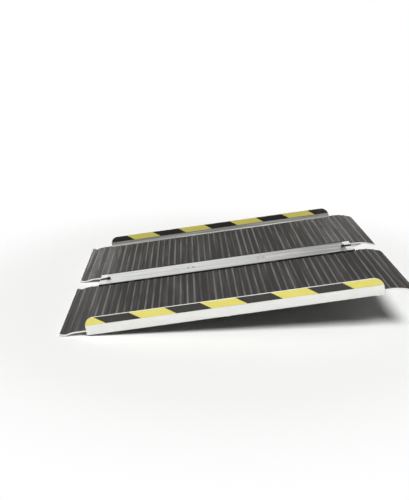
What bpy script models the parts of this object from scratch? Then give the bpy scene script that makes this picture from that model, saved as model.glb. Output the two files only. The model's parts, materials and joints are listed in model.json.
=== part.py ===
"""Folding portable wheelchair ramp in fibre composite, laid out flat.

Two half decks with kerbs fold up, each about its own long axis, on a centre profile like the spine of a book.
The ramp runs up along +X, the near half lies at -Y and the far half at +Y, and the decks are level. Sections are
drawn with u along the ramp from its lower tip, v out from the centre line and w up from the walking surface.
"""

import math

import bmesh
import bpy
from mathutils import Matrix, Vector

# Overall and deck
DECK_LENGTH = 0.952
DECK_HALF_WIDTH = 0.380
DECK_THICKNESS = 0.004
DECK_INNER_EDGE = 0.038
GRIP_THICKNESS = 0.0009
RIB_HEIGHT = 0.0013
RIB_BASE = 0.0062
RIB_TOP = 0.0030
RIB_PITCH = 0.020

# Formed lips
NOSE_RADIUS = 0.025
NOSE_TIP_ANGLE = 38.0
NOSE_RAMP_ANGLE = 14.0
NOSE_RAMP_LENGTH = 0.006
NOSE_BEND_RADIUS = 0.060
LIP_RADIUS = 0.152
LIP_ANGLE = 26.0

# Kerb and flanges
WALL = 0.004
KERB_START = 0.072
KERB_END_INSET = 0.080
KERB_RISE = 0.0335
KERB_LOWER_RADIUS = 0.024
KERB_UPPER_RADIUS = 0.030
KERB_EDGE_ROUND = 0.0006
KERB_FILLET = 0.005
FLANGE_DROP = 0.016
INNER_FLANGE_START = 0.050
INNER_FLANGE_END_INSET = 0.032
INNER_FLANGE_SLOPE = 0.027
PIP_INSETS = (0.420, 0.020)
PIP_LENGTH = 0.0044
PIP_DROP = 0.0022

# Sandwich under the deck
CORE_DEPTH = 0.0077
SKIN_THICKNESS = 0.0015
CORE_START = 0.076
CORE_END_INSET = 0.080
CORE_SCARF = 0.022
SKIN_LOWER_BOND = 0.018
SKIN_UPPER_BOND = 0.009

# Rubber pads
PAD_THICKNESS = 0.0015
LOWER_PAD_START = 0.006
LOWER_PAD_LENGTH = 0.026
UPPER_PAD_END = 0.002
UPPER_PAD_LENGTH = 0.036
PAD_MARGIN = 0.006

# Hazard tape
TAPE_THICKNESS = 0.0003
TAPE_WIDTH = 0.0238
TAPE_MARGIN = 0.0004
TAPE_BLOCK = 0.0947
TAPE_FIRST_EDGE = 0.107

# Centre profile and hinge
STRIP_RISE = 0.005
STRIP_START = 0.070
STRIP_END_INSET = 0.082
CAP_LENGTH = 0.022
PLATE_THICKNESS = 0.0024
AXIS_OUT = 0.033
AXIS_RISE = 0.002
BULB_RADIUS = 0.0046
SOCKET_WALL = 0.0018
RIB_WALL = 0.002
CHANNEL_HALF_WIDTH = 0.022
PROFILE_DROP = 0.016
PROFILE_FOOT = 0.004
GROOVE_WIDTH = 0.0016
GROOVE_DEPTH = 0.0005
GROOVE_FLOOR_WIDTH = 0.0004

# Hinge leaf
LEAF_FLANGE = 0.0016
LEAF_WEB = 0.002
LEAF_LIP = 0.0012
LEAF_COVER = 0.00515
LEAF_OVERHANG = 0.0027
LEAF_DROP = 0.015
RIVET_COUNT = 4
RIVET_RADIUS = 0.0020
RIVET_HEAD_RADIUS = 0.0040
RIVET_HEAD_HEIGHT = 0.0011
RIVET_DROP = 0.009
RIVET_END_DISTANCE = 0.045

# Edge seal
SEAL_WIDTH = 0.0020
SEAL_INSET = 0.0005

# Lock slide
LOCK_SLOT_HALF_WIDTH = 0.0020
LOCK_SLOT_LENGTH = 0.031
LOCK_SLOT_DEPTH = 0.004
LOCK_PIN_RADIUS = 0.0021
LOCK_PIN_LENGTH = 0.0056
LOCK_EYE_LENGTH = 0.006
LOCK_EYE_WALL = 0.0013
LOCK_EYE_DROP = 0.00065
LOCK_BAR_LENGTH = 0.0035
LOCK_BAR_INSET = 0.0021
LOCK_BAR_MARGIN = 0.0003
LOCK_TONGUE_HALF_WIDTH = 0.006
LOCK_NECK_LENGTH = 0.006
LOCK_KNOB_LENGTH = 0.009
LOCK_KNOB_HALF_WIDTH = 0.004
LOCK_KNOB_HEIGHT = 0.0024
LOCK_KNOB_ROUND = 0.0006
LOCK_GUIDE_START = 0.002
LOCK_GUIDE_END = 0.033
LOCK_GUIDE_HALF_WIDTH = 0.006
LOCK_GUIDE_THICKNESS = 0.002
LOCK_GUIDE_ROUND = 0.0005
TENON_LENGTH = 0.020
CAP_SIDE_INSET = 0.007
CAP_SHOULDER_ANGLE = 240.0
CAP_SHOULDER_DROP = 0.0092

# Carrying strap
STRAP_HALF_WIDTH = 0.015
STRAP_THICKNESS = 0.0032
STRAP_SPAN = 0.240
STRAP_BOW = 0.0135
STRAP_BOW_SHAPE = 0.75
STRAP_STEPS = 24
CLAMP_LENGTH = 0.034
CLAMP_HALF_WIDTH = 0.0165
CLAMP_THICKNESS = 0.003
SCREW_SPACING = 0.017
SCREW_RADIUS = 0.0020
SCREW_HEAD_RADIUS = 0.0034
SCREW_HEAD_HEIGHT = 0.0017

# Clearances
GAP = 0.0003
RUNNING_GAP = 0.00025
FREE_GAP = 0.0004
HOLE_GAP = 0.0003

ARC_STEP = math.radians(4.0)
BULB_STEP = math.radians(14.0)
SHARP_ANGLE = math.radians(35.0)
ROUND_SIDES = 16
WELD = 0.000002

WHITE = (0.83, 0.84, 0.82, 1)
GRIT = (0.055, 0.052, 0.050, 1)
YELLOW = (0.84, 0.78, 0.16, 1)
BLACK = (0.045, 0.042, 0.040, 1)
SILVER = (0.72, 0.73, 0.72, 1)
FOAM = (0.78, 0.72, 0.55, 1)

KERB_END = DECK_LENGTH - KERB_END_INSET
INNER_FLANGE_END = DECK_LENGTH - INNER_FLANGE_END_INSET
CORE_END = DECK_LENGTH - CORE_END_INSET
STRIP_END = DECK_LENGTH - STRIP_END_INSET
SHEET_MIDDLE = -(GRIP_THICKNESS + GAP + DECK_THICKNESS / 2)
SHEET_TOP = SHEET_MIDDLE + DECK_THICKNESS / 2
SHEET_BOTTOM = SHEET_MIDDLE - DECK_THICKNESS / 2
KERB_FACE = DECK_HALF_WIDTH - TAPE_THICKNESS - GAP
SOCKET_RADIUS = BULB_RADIUS + RUNNING_GAP
SOCKET_OUTER = SOCKET_RADIUS + SOCKET_WALL
LEAF_FACE = AXIS_OUT + SOCKET_OUTER + FREE_GAP + GAP
PANEL_EDGE = LEAF_FACE + LEAF_WEB + GAP
STRIP_HALF_WIDTH = LEAF_FACE + LEAF_WEB + LEAF_COVER
SOCKET_LIP_RISE = STRIP_RISE - LEAF_FLANGE - FREE_GAP - AXIS_RISE
SOCKET_LIP_ANGLE = 360.0 + math.degrees(math.asin(SOCKET_LIP_RISE / SOCKET_OUTER))
LOCK_EYE_RADIUS = LOCK_PIN_RADIUS + HOLE_GAP + LOCK_EYE_WALL
LOCK_PIN_RISE = AXIS_RISE - SOCKET_OUTER - LOCK_EYE_DROP - LOCK_EYE_RADIUS
LOCK_BAR_TOP = LOCK_PIN_RISE + LOCK_PIN_RADIUS + LOCK_BAR_MARGIN
LOCK_BAR_LOW = LOCK_PIN_RISE - LOCK_PIN_RADIUS - LOCK_BAR_MARGIN
LOCK_BAR_OUT = AXIS_OUT + LOCK_PIN_RADIUS + LOCK_BAR_MARGIN
LOCK_BAR_NEAR = CAP_LENGTH - LOCK_BAR_INSET - LOCK_BAR_LENGTH
LOCK_TRAVEL = LOCK_BAR_NEAR - LOCK_EYE_LENGTH - FREE_GAP
LOCK_KNOB_SEAT = STRIP_RISE + GAP + LOCK_GUIDE_THICKNESS + FREE_GAP


def clear_scene():
    for old in list(bpy.data.objects):
        bpy.data.objects.remove(old)


def new_collection(name):
    made = bpy.data.collections.new(name)
    bpy.context.scene.collection.children.link(made)
    return made


def material(name, color, roughness, metallic=0.0):
    made = bpy.data.materials.new(name)
    made.use_nodes = True
    shader = made.node_tree.nodes["Principled BSDF"]
    shader.inputs["Base Color"].default_value = color
    shader.inputs["Roughness"].default_value = roughness
    shader.inputs["Metallic"].default_value = metallic
    made.diffuse_color = color
    made.roughness = roughness
    made.metallic = metallic
    return made


def hazard_material(name):
    """Yellow and black blocks with edges at 45 degrees, the first edge at its place on the kerb's top."""
    made = material(name, YELLOW, 0.45)
    nodes = made.node_tree.nodes
    links = made.node_tree.links
    place = nodes.new("ShaderNodeTexCoord")
    split = nodes.new("ShaderNodeSeparateXYZ")
    slant = nodes.new("ShaderNodeMath")
    first = nodes.new("ShaderNodeMath")
    block = nodes.new("ShaderNodeMath")
    pair = nodes.new("ShaderNodeMath")
    paint = nodes.new("ShaderNodeMix")
    slant.operation = "ADD"
    first.operation = "ADD"
    first.inputs[1].default_value = MIDDLE - STAND - TAPE_FIRST_EDGE - KERB_RISE
    block.operation = "DIVIDE"
    block.inputs[1].default_value = 2 * TAPE_BLOCK
    pair.operation = "FRACT"
    paint.data_type = "RGBA"
    paint.inputs["A"].default_value = YELLOW
    paint.inputs["B"].default_value = BLACK
    step = nodes.new("ShaderNodeMath")
    step.operation = "LESS_THAN"
    step.inputs[1].default_value = 0.5
    links.new(place.outputs["Object"], split.inputs[0])
    links.new(split.outputs["X"], slant.inputs[0])
    links.new(split.outputs["Z"], slant.inputs[1])
    links.new(slant.outputs[0], first.inputs[0])
    links.new(first.outputs[0], block.inputs[0])
    links.new(block.outputs[0], pair.inputs[0])
    links.new(pair.outputs[0], step.inputs[0])
    links.new(step.outputs[0], paint.inputs["Factor"])
    links.new(paint.outputs["Result"], nodes["Principled BSDF"].inputs["Base Color"])
    return made


# The deck line, walked from the lower tip along the middle of the sheet


def deck_segments():
    """Each segment: its start along the line, its length, its first point, heading and curvature."""
    nose = math.radians(NOSE_TIP_ANGLE)
    slope = math.radians(NOSE_RAMP_ANGLE)
    lip = math.radians(LIP_ANGLE)
    nose_reach = NOSE_RADIUS * (math.sin(nose) + math.sin(slope))
    ramp_reach = NOSE_RAMP_LENGTH * math.cos(slope) + NOSE_BEND_RADIUS * math.sin(slope)
    flat = DECK_LENGTH - nose_reach - ramp_reach - LIP_RADIUS * math.sin(lip)
    moves = (
        ((nose + slope) * NOSE_RADIUS, 1 / NOSE_RADIUS),
        (NOSE_RAMP_LENGTH, 0.0),
        (slope * NOSE_BEND_RADIUS, -1 / NOSE_BEND_RADIUS),
        (flat, 0.0),
        (lip * LIP_RADIUS, -1 / LIP_RADIUS),
    )
    rise = NOSE_RADIUS * (math.cos(nose) - math.cos(slope))
    rise += NOSE_RAMP_LENGTH * math.sin(slope) + NOSE_BEND_RADIUS * (1 - math.cos(slope))
    found = []
    start = 0.0
    point = Vector((0.0, SHEET_MIDDLE - rise))
    heading = -nose
    for length, bend in moves:
        found.append((start, length, point, heading, bend))
        point, heading = along(found[-1], length)
        start += length
    return found


def along(segment, run):
    """The point and heading that far along one segment."""
    _, _, point, heading, bend = segment
    if bend == 0.0:
        return point + run * Vector((math.cos(heading), math.sin(heading))), heading
    turned = heading + bend * run
    step = Vector((math.sin(turned) - math.sin(heading), math.cos(heading) - math.cos(turned)))
    return point + step / bend, turned


SEGMENTS = deck_segments()
LINE_LENGTH = SEGMENTS[-1][0] + SEGMENTS[-1][1]
FLAT_START = SEGMENTS[3][0]


def station(place, offset):
    """The point at this place along the deck line, moved by offset square to it, up being positive."""
    for segment in SEGMENTS:
        if place <= segment[0] + segment[1] or segment is SEGMENTS[-1]:
            break
    point, heading = along(segment, place - segment[0])
    return point + offset * Vector((-math.sin(heading), math.cos(heading)))


def line_places(start, end):
    """Places along the line from start to end, close together only where it bends."""
    places = {start, end}
    for begin, length, _, _, bend in SEGMENTS:
        count = max(1, math.ceil(abs(bend) * length / ARC_STEP))
        places.update(begin + length * i / count for i in range(count + 1))
    return [place for place in sorted(places) if start <= place <= end]


def sheet_outline(start, end, low, high):
    """A sheet that follows the deck line, between two offsets from it."""
    places = line_places(start, end)
    top = [station(place, high) for place in places]
    bottom = [station(place, low) for place in places]
    return bottom + top[::-1]


def place_of(u):
    """Where along the line the flat deck passes this u."""
    return FLAT_START + u - SEGMENTS[3][2].x


def grip_outline():
    """The anti-slip sheet, with its cross ribs raised along the whole line."""
    low = DECK_THICKNESS / 2 + GAP
    high = low + GRIP_THICKNESS
    start = GAP
    end = LINE_LENGTH - GAP
    ribs = int((end - start - RIB_BASE) / RIB_PITCH)
    first = (start + end - ribs * RIB_PITCH) / 2
    heights = {place: high for place in line_places(start, end)}
    for rib in range(ribs + 1):
        middle = first + rib * RIB_PITCH
        heights = {p: h for p, h in heights.items() if abs(p - middle) > RIB_BASE / 2 or p in (start, end)}
        heights[middle - RIB_BASE / 2] = high
        heights[middle - RIB_TOP / 2] = high + RIB_HEIGHT
        heights[middle + RIB_TOP / 2] = high + RIB_HEIGHT
        heights[middle + RIB_BASE / 2] = high
    top = [station(place, heights[place]) for place in sorted(heights)]
    bottom = [station(place, low) for place in line_places(start, end)]
    return bottom + top[::-1]


# Places in the world


DECK_REACH = [
    point.x
    for point in grip_outline() + sheet_outline(0.0, LINE_LENGTH, -DECK_THICKNESS / 2, DECK_THICKNESS / 2)
]
MIDDLE = (min(DECK_REACH) + max(DECK_REACH)) / 2
PAD_LOW = -DECK_THICKNESS / 2 - GAP - PAD_THICKNESS
STAND = -station(LINE_LENGTH - UPPER_PAD_END, PAD_LOW).y


def arc(centre, radius, start, end, step=ARC_STEP):
    """Points round a centre from one angle to the other, both in degrees."""
    first = math.radians(start)
    sweep = math.radians(end - start)
    count = max(1, math.ceil(abs(sweep) / step))
    turns = [first + sweep * i / count for i in range(count + 1)]
    return [Vector((centre[0] + radius * math.cos(t), centre[1] + radius * math.sin(t))) for t in turns]


def rectangle(left, right, low, high):
    return [(left, low), (right, low), (right, high), (left, high)]


# Solids

LYING = {
    "X": Matrix(((0, 0, 1, 0), (1, 0, 0, 0), (0, 1, 0, 0), (0, 0, 0, 1))),
    "Y": Matrix(((1, 0, 0, 0), (0, 0, -1, 0), (0, 1, 0, 0), (0, 0, 0, 1))),
    "Z": Matrix.Identity(4),
}


def close_ends(mesh, edge_round):
    """Caps the two open ends of a wall run along its outline, rounds their rims and turns every face out."""
    shape = bmesh.new()
    shape.from_mesh(mesh)
    bmesh.ops.remove_doubles(shape, verts=shape.verts, dist=WELD)
    ends = [edge for edge in shape.edges if edge.is_boundary]
    caps = bmesh.ops.holes_fill(shape, edges=ends)["faces"]
    bmesh.ops.recalc_face_normals(shape, faces=shape.faces)
    if edge_round > 0.0:
        rims = list({edge for cap in caps for edge in cap.edges})
        bmesh.ops.bevel(
            shape, geom=rims, offset=edge_round, segments=2, profile=0.5, affect="EDGES", clamp_overlap=True
        )
        bmesh.ops.triangulate(shape, faces=shape.faces)
    shape.to_mesh(mesh)
    shape.free()


def outline_solid(name, outline, axis, start, end, edge_round=0.0):
    """The outline, filled and run from start to end along X, Y or Z, then moved to its place in the world.

    Outlines for X hold (v, w), those for Y hold (u, w) and those for Z hold (u, v).
    """
    curve = bpy.data.curves.new(name, "CURVE")
    curve.dimensions = "2D"
    curve.fill_mode = "NONE"
    curve.extrude = (end - start) / 2
    spline = curve.splines.new("POLY")
    spline.points.add(len(outline) - 1)
    for point, (first, second) in zip(spline.points, outline):
        point.co = (first, second, 0, 1)
    spline.use_cyclic_u = True
    drawn = bpy.data.objects.new(name, curve)
    CUTTERS.objects.link(drawn)
    graph = bpy.context.evaluated_depsgraph_get()
    mesh = bpy.data.meshes.new_from_object(drawn.evaluated_get(graph))
    bpy.data.objects.remove(drawn)
    bpy.data.curves.remove(curve)
    mesh.name = name
    middle = (start + end) / 2
    moved = {"X": (middle, 0, 0), "Y": (0, middle, 0), "Z": (0, 0, middle)}[axis]
    mesh.transform(Matrix.Translation(Vector(moved) + Vector((-MIDDLE, 0, STAND))) @ LYING[axis])
    close_ends(mesh, edge_round)
    return bpy.data.objects.new(name, mesh)


def round_solid(name, radius, axis, start, end, centre, sides=ROUND_SIDES):
    """A round bar about (centre) from start to end along an axis. The centre is given as in outline_solid."""
    shape = bmesh.new()
    bmesh.ops.create_cone(
        shape, cap_ends=True, segments=sides, radius1=radius, radius2=radius, depth=end - start
    )
    mesh = bpy.data.meshes.new(name)
    middle = (start + end) / 2
    bmesh.ops.translate(shape, verts=shape.verts, vec=(centre[0], centre[1], 0))
    shape.to_mesh(mesh)
    shape.free()
    moved = {"X": (middle, 0, 0), "Y": (0, middle, 0), "Z": (0, 0, middle)}[axis]
    mesh.transform(Matrix.Translation(Vector(moved) + Vector((-MIDDLE, 0, STAND))) @ LYING[axis])
    return bpy.data.objects.new(name, mesh)


def boolean(target, other, operation):
    CUTTERS.objects.link(other)
    other.hide_render = True
    other.display_type = "WIRE"
    modifier = target.modifiers.new(other.name, "BOOLEAN")
    modifier.operation = operation
    modifier.object = other
    return target


def join(target, other):
    return boolean(target, other, "UNION")


def cut(target, other):
    return boolean(target, other, "DIFFERENCE")


def turned_over(solid, side):
    """The piece as modelled for the far half, mirrored across the centre line for the near half."""
    if side < 0:
        solid.data.transform(Matrix.Scale(-1, 4, (0, 1, 0)))
        solid.data.flip_normals()
    return solid


def finish(solid, name, finish_material, parent=None):
    """Applies the Booleans, marks the sharp edges, sets the material and hangs the piece on its body's empty."""
    PARTS.objects.link(solid)
    graph = bpy.context.evaluated_depsgraph_get()
    mesh = bpy.data.meshes.new_from_object(solid.evaluated_get(graph))
    solid.modifiers.clear()
    solid.data = mesh
    solid.name = name
    mesh.name = name
    mesh.materials.append(finish_material)
    mesh.shade_smooth()
    mesh.set_sharp_from_angle(angle=SHARP_ANGLE)
    if parent is not None:
        solid.parent = parent
        solid.matrix_parent_inverse = parent.matrix_world.inverted()
    return solid


def body_empty(name, place):
    made = bpy.data.objects.new(name, None)
    made.location = place
    made.empty_display_size = 0.03
    PARTS.objects.link(made)
    bpy.context.view_layer.update()
    return made


# Half deck


def kerb_outline():
    """The kerb with its rounded ends, its flange under the deck and the moulded pips on the flange."""
    top = KERB_RISE
    low = -FLANGE_DROP
    lower = (KERB_START + KERB_LOWER_RADIUS, top - KERB_LOWER_RADIUS)
    upper = (KERB_END - KERB_UPPER_RADIUS, top - KERB_UPPER_RADIUS)
    points = [(KERB_START, low)]
    for inset in PIP_INSETS:
        place = KERB_END - inset
        half = PIP_LENGTH / 2
        points += [(place - half, low), (place - half / 2, low - PIP_DROP)]
        points += [(place + half / 2, low - PIP_DROP), (place + half, low)]
    points.append((KERB_END, low))
    points += arc(upper, KERB_UPPER_RADIUS, 0, 90, 2 * ARC_STEP)
    points += arc(lower, KERB_LOWER_RADIUS, 90, 180, 2 * ARC_STEP)
    return points


def inner_flange_outline():
    """The inner flange, whose ends slope up to the sheet before each lip."""
    inside = SHEET_MIDDLE
    slope = INNER_FLANGE_SLOPE
    last = station(place_of(INNER_FLANGE_END), 0)
    return [
        (INNER_FLANGE_START, inside),
        (INNER_FLANGE_START + slope, -FLANGE_DROP),
        (INNER_FLANGE_END - slope, -FLANGE_DROP),
        (last.x, last.y),
        (INNER_FLANGE_END - slope, inside),
    ]


def fillet_outline():
    """The moulded fillet between the walking surface and the inside of the kerb."""
    wall = KERB_FACE - WALL
    corner = (wall - KERB_FILLET, SHEET_TOP + KERB_FILLET)
    points = [(wall - KERB_FILLET, SHEET_MIDDLE), (wall + WALL / 2, SHEET_MIDDLE)]
    points.append((wall + WALL / 2, SHEET_TOP + KERB_FILLET))
    return points + arc(corner, KERB_FILLET, 0, -90, 4 * ARC_STEP)


def rivet_places():
    """Evenly spread along the leaf."""
    first = STRIP_START + CAP_LENGTH + RIVET_END_DISTANCE
    last = STRIP_END - CAP_LENGTH - RIVET_END_DISTANCE
    return [first + (last - first) * i / (RIVET_COUNT - 1) for i in range(RIVET_COUNT)]


def rivet_holes(target, name, side):
    for number, place in enumerate(rivet_places(), 1):
        hole = round_solid(
            f"{name}_hole_{number}",
            RIVET_RADIUS + HOLE_GAP,
            "Y",
            LEAF_FACE - WALL,
            PANEL_EDGE + WALL * 2,
            (place, -RIVET_DROP),
        )
        cut(target, turned_over(hole, side))


def make_panel(name, side, parent):
    """One moulding: the sheet with its two lips, the kerb, the fillet and both flanges."""
    half = DECK_THICKNESS / 2
    panel = outline_solid(
        "sheet", sheet_outline(0.0, LINE_LENGTH, -half, half), "Y", DECK_INNER_EDGE, KERB_FACE - GAP
    )
    hinge_space = outline_solid(
        f"{name}_hinge_space",
        rectangle(STRIP_START - WALL, STRIP_END + WALL, -FLANGE_DROP, STRIP_RISE),
        "Y",
        DECK_INNER_EDGE - WALL,
        PANEL_EDGE,
    )
    kerb = outline_solid(
        f"{name}_kerb", kerb_outline(), "Y", KERB_FACE - WALL, KERB_FACE, KERB_EDGE_ROUND
    )
    flange = outline_solid(
        f"{name}_inner_flange", inner_flange_outline(), "Y", PANEL_EDGE, PANEL_EDGE + WALL
    )
    fillet = outline_solid(
        f"{name}_fillet", fillet_outline(), "X", KERB_START + WALL / 2, KERB_END - WALL / 2
    )
    turned_over(panel, side)
    cut(panel, turned_over(hinge_space, side))
    join(panel, turned_over(kerb, side))
    join(panel, turned_over(flange, side))
    join(panel, turned_over(fillet, side))
    rivet_holes(panel, name, side)
    return finish(panel, name, SHELL_WHITE, parent)


def make_grip_sheet(name, side, parent):
    """The ribbed covering: full width on the lips, and between the leaf and the kerb's fillet elsewhere."""
    sheet = outline_solid("grip", grip_outline(), "Y", DECK_INNER_EDGE + GAP, KERB_FACE - 2 * GAP)
    high = KERB_RISE
    low = -FLANGE_DROP
    leaf_space = outline_solid(
        f"{name}_leaf_space",
        rectangle(STRIP_START - WALL, STRIP_END + WALL, low, high),
        "Y",
        DECK_INNER_EDGE - WALL,
        STRIP_HALF_WIDTH - LEAF_OVERHANG + GAP,
    )
    kerb_space = outline_solid(
        f"{name}_kerb_space",
        rectangle(KERB_START - GAP, KERB_END + GAP, low, high),
        "Y",
        KERB_FACE - WALL - KERB_FILLET - GAP,
        KERB_FACE + WALL,
    )
    turned_over(sheet, side)
    cut(sheet, turned_over(leaf_space, side))
    cut(sheet, turned_over(kerb_space, side))
    return finish(sheet, name, GRIP_BLACK, parent)


def tape_outline():
    """The tape is cut to the kerb's rounded ends, a little inside its edge."""
    top = KERB_RISE - TAPE_MARGIN
    low = top - TAPE_WIDTH
    lower = (KERB_START + KERB_LOWER_RADIUS, KERB_RISE - KERB_LOWER_RADIUS)
    upper = (KERB_END - KERB_UPPER_RADIUS, KERB_RISE - KERB_UPPER_RADIUS)
    lower_radius = KERB_LOWER_RADIUS - TAPE_MARGIN
    upper_radius = KERB_UPPER_RADIUS - TAPE_MARGIN
    start = math.degrees(math.asin((low - upper[1]) / upper_radius))
    end = 180 - math.degrees(math.asin(max(0.0, low - lower[1]) / lower_radius))
    points = arc(upper, upper_radius, start, 90, 2 * ARC_STEP)
    points += arc(lower, lower_radius, 90, end, 2 * ARC_STEP)
    points.append((points[-1][0], low))
    return points


def make_tape(name, side, face, parent):
    tape = outline_solid(name, tape_outline(), "Y", face, face + TAPE_THICKNESS)
    return finish(turned_over(tape, side), name, TAPE_HAZARD, parent)


def make_core(name, side, parent):
    """The foam board between the deck and the bottom skin, scarfed at both ends."""
    top = SHEET_BOTTOM - GAP
    low = top - CORE_DEPTH
    outline = [
        (CORE_START + CORE_SCARF, low),
        (CORE_END - CORE_SCARF, low),
        (CORE_END, top),
        (CORE_START, top),
    ]
    core = outline_solid(name, outline, "Y", PANEL_EDGE + WALL + GAP, KERB_FACE - WALL - GAP)
    return finish(turned_over(core, side), name, CORE_FOAM, parent)


def make_under_skin(name, side, parent):
    """The bottom skin: flat under the core, up its scarfs and bonded to the sheet at both ends."""
    bond = SHEET_BOTTOM - GAP
    base = bond - CORE_DEPTH - GAP
    reach = GAP / 2
    line = (
        (CORE_START - reach - SKIN_LOWER_BOND, bond),
        (CORE_START - reach, bond),
        (CORE_START + CORE_SCARF - reach, base),
        (CORE_END - CORE_SCARF + reach, base),
        (CORE_END + reach, bond),
        (CORE_END + reach + SKIN_UPPER_BOND, bond),
    )
    lower = [(u, w - SKIN_THICKNESS) for u, w in line]
    skin = outline_solid(
        name, lower + list(line[::-1]), "Y", PANEL_EDGE + WALL + GAP, KERB_FACE - WALL - GAP
    )
    return finish(turned_over(skin, side), name, SHELL_WHITE, parent)


def make_pad(name, side, start, end, parent):
    """A rubber strip bonded under the sheet, between two places along the deck line."""
    outline = sheet_outline(start, end, PAD_LOW, PAD_LOW + PAD_THICKNESS)
    pad = outline_solid(name, outline, "Y", PANEL_EDGE + WALL + GAP, KERB_FACE - PAD_MARGIN)
    return finish(turned_over(pad, side), name, PAD_RUBBER, parent)


# Hinge


def bulb_arc():
    """The leaf's round bulb, from the left end of its flat top, under the axis, to the flange's underside."""
    flat = STRIP_RISE - AXIS_RISE
    under = flat - LEAF_FLANGE
    start = 180 - math.degrees(math.asin(flat / BULB_RADIUS))
    end = 360 + math.degrees(math.asin(under / BULB_RADIUS))
    return arc((AXIS_OUT, AXIS_RISE), BULB_RADIUS, start, end, BULB_STEP)


def leaf_edge():
    """From the flange's underside at the web, round the lip on the deck, to the strip's outer edge."""
    under = STRIP_RISE - LEAF_FLANGE
    seat = SHEET_TOP + GAP
    lip = STRIP_HALF_WIDTH - LEAF_OVERHANG - LEAF_LIP
    return [
        (LEAF_FACE, under),
        (LEAF_FACE, -LEAF_DROP),
        (LEAF_FACE + LEAF_WEB, -LEAF_DROP),
        (LEAF_FACE + LEAF_WEB, under),
        (lip, under),
        (lip, seat),
        (lip + LEAF_LIP, seat),
        (lip + LEAF_LIP, under),
        (STRIP_HALF_WIDTH, under),
        (STRIP_HALF_WIDTH, STRIP_RISE),
    ]


def make_hinge_leaf(name, side, parent):
    """The edge profile of a half: bulb, flush flange over the deck's edge, and web riveted to the flange."""
    leaf = outline_solid(
        name, bulb_arc() + leaf_edge(), "X", STRIP_START + CAP_LENGTH, STRIP_END - CAP_LENGTH
    )
    turned_over(leaf, side)
    rivet_holes(leaf, name, side)
    return finish(leaf, name, PROFILE_SILVER, parent)


def make_edge_seal(name, side, parent):
    """The rubber strip that fills the step from the covering up to the flange, its foot under the flange."""
    foot = STRIP_HALF_WIDTH - LEAF_OVERHANG + GAP
    inner = STRIP_HALF_WIDTH + GAP
    low = RIB_HEIGHT + GAP
    under = STRIP_RISE - LEAF_FLANGE - GAP
    high = STRIP_RISE - SEAL_INSET
    outline = [
        (foot, low),
        (inner + SEAL_WIDTH, low),
        (inner + SEAL_WIDTH, high),
        (inner, high),
        (inner, under),
        (foot, under),
    ]
    seal = outline_solid(name, outline, "X", STRIP_START, STRIP_END)
    return finish(turned_over(seal, side), name, PAD_RUBBER, parent)


def end_u(at_top, run):
    """The u that lies this far in from the strip's upper or lower end."""
    return STRIP_END - run if at_top else STRIP_START + run


def end_run(at_top, near, far):
    """Where a stretch counted in from an end of the strip starts and ends, as u."""
    return sorted((end_u(at_top, near), end_u(at_top, far)))


def eye_outline():
    """The plug's eye under the bulb, round about the lock pin and rooted in the web."""
    centre = (AXIS_OUT, LOCK_PIN_RISE)
    root = LEAF_FACE + LEAF_WEB / 2
    return arc(centre, LOCK_EYE_RADIUS, 90, 270, BULB_STEP) + [
        (root, LOCK_PIN_RISE - LOCK_EYE_RADIUS),
        (root, LOCK_PIN_RISE + LOCK_EYE_RADIUS),
    ]


def make_leaf_plug(name, side, at_top, parent):
    """The leaf's end plug: its section, and an eye that the lock pin enters while the half lies open."""
    plug = outline_solid(
        name, bulb_arc() + leaf_edge(), "X", *end_run(at_top, 0.0, CAP_LENGTH - GAP)
    )
    eye = outline_solid(f"{name}_eye", eye_outline(), "X", *end_run(at_top, GAP, LOCK_EYE_LENGTH))
    hole = round_solid(
        f"{name}_hole",
        LOCK_PIN_RADIUS + HOLE_GAP,
        "X",
        *end_run(at_top, -WALL, LOCK_EYE_LENGTH + WALL),
        (AXIS_OUT, LOCK_PIN_RISE),
    )
    turned_over(plug, side)
    join(plug, turned_over(eye, side))
    cut(plug, turned_over(hole, side))
    return finish(plug, name, CAP_WHITE, parent)


def make_rivet(name, side, place, parent):
    """A blind rivet through the leaf's web and the panel's inner flange, its head on the web."""
    head_start = LEAF_FACE - GAP - RIVET_HEAD_HEIGHT
    head = round_solid(
        name, RIVET_HEAD_RADIUS, "Y", head_start, LEAF_FACE - GAP, (place, -RIVET_DROP)
    )
    shank = round_solid(
        f"{name}_shank", RIVET_RADIUS, "Y", head_start + GAP, PANEL_EDGE + WALL - GAP, (place, -RIVET_DROP)
    )
    turned_over(head, side)
    join(head, turned_over(shank, side))
    return finish(head, name, PROFILE_SILVER, parent)


# Centre profile


def socket_side():
    """The socket on the far side: inner wall, lip, outer wall back to the plate's underside."""
    centre = (AXIS_OUT, AXIS_RISE)
    top = math.degrees(math.asin((STRIP_RISE - AXIS_RISE) / SOCKET_RADIUS))
    under = math.degrees(math.asin((STRIP_RISE - PLATE_THICKNESS - AXIS_RISE) / SOCKET_OUTER))
    inside = arc(centre, SOCKET_RADIUS, 180 - top, SOCKET_LIP_ANGLE, BULB_STEP)
    outside = arc(centre, SOCKET_OUTER, SOCKET_LIP_ANGLE, 180 - under, BULB_STEP)
    return inside + outside


def both_sides(points):
    """Closes a section drawn from the top centre to the bottom centre with its mirror image."""
    return list(points) + [(-v, w) for v, w in reversed(points)]


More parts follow.
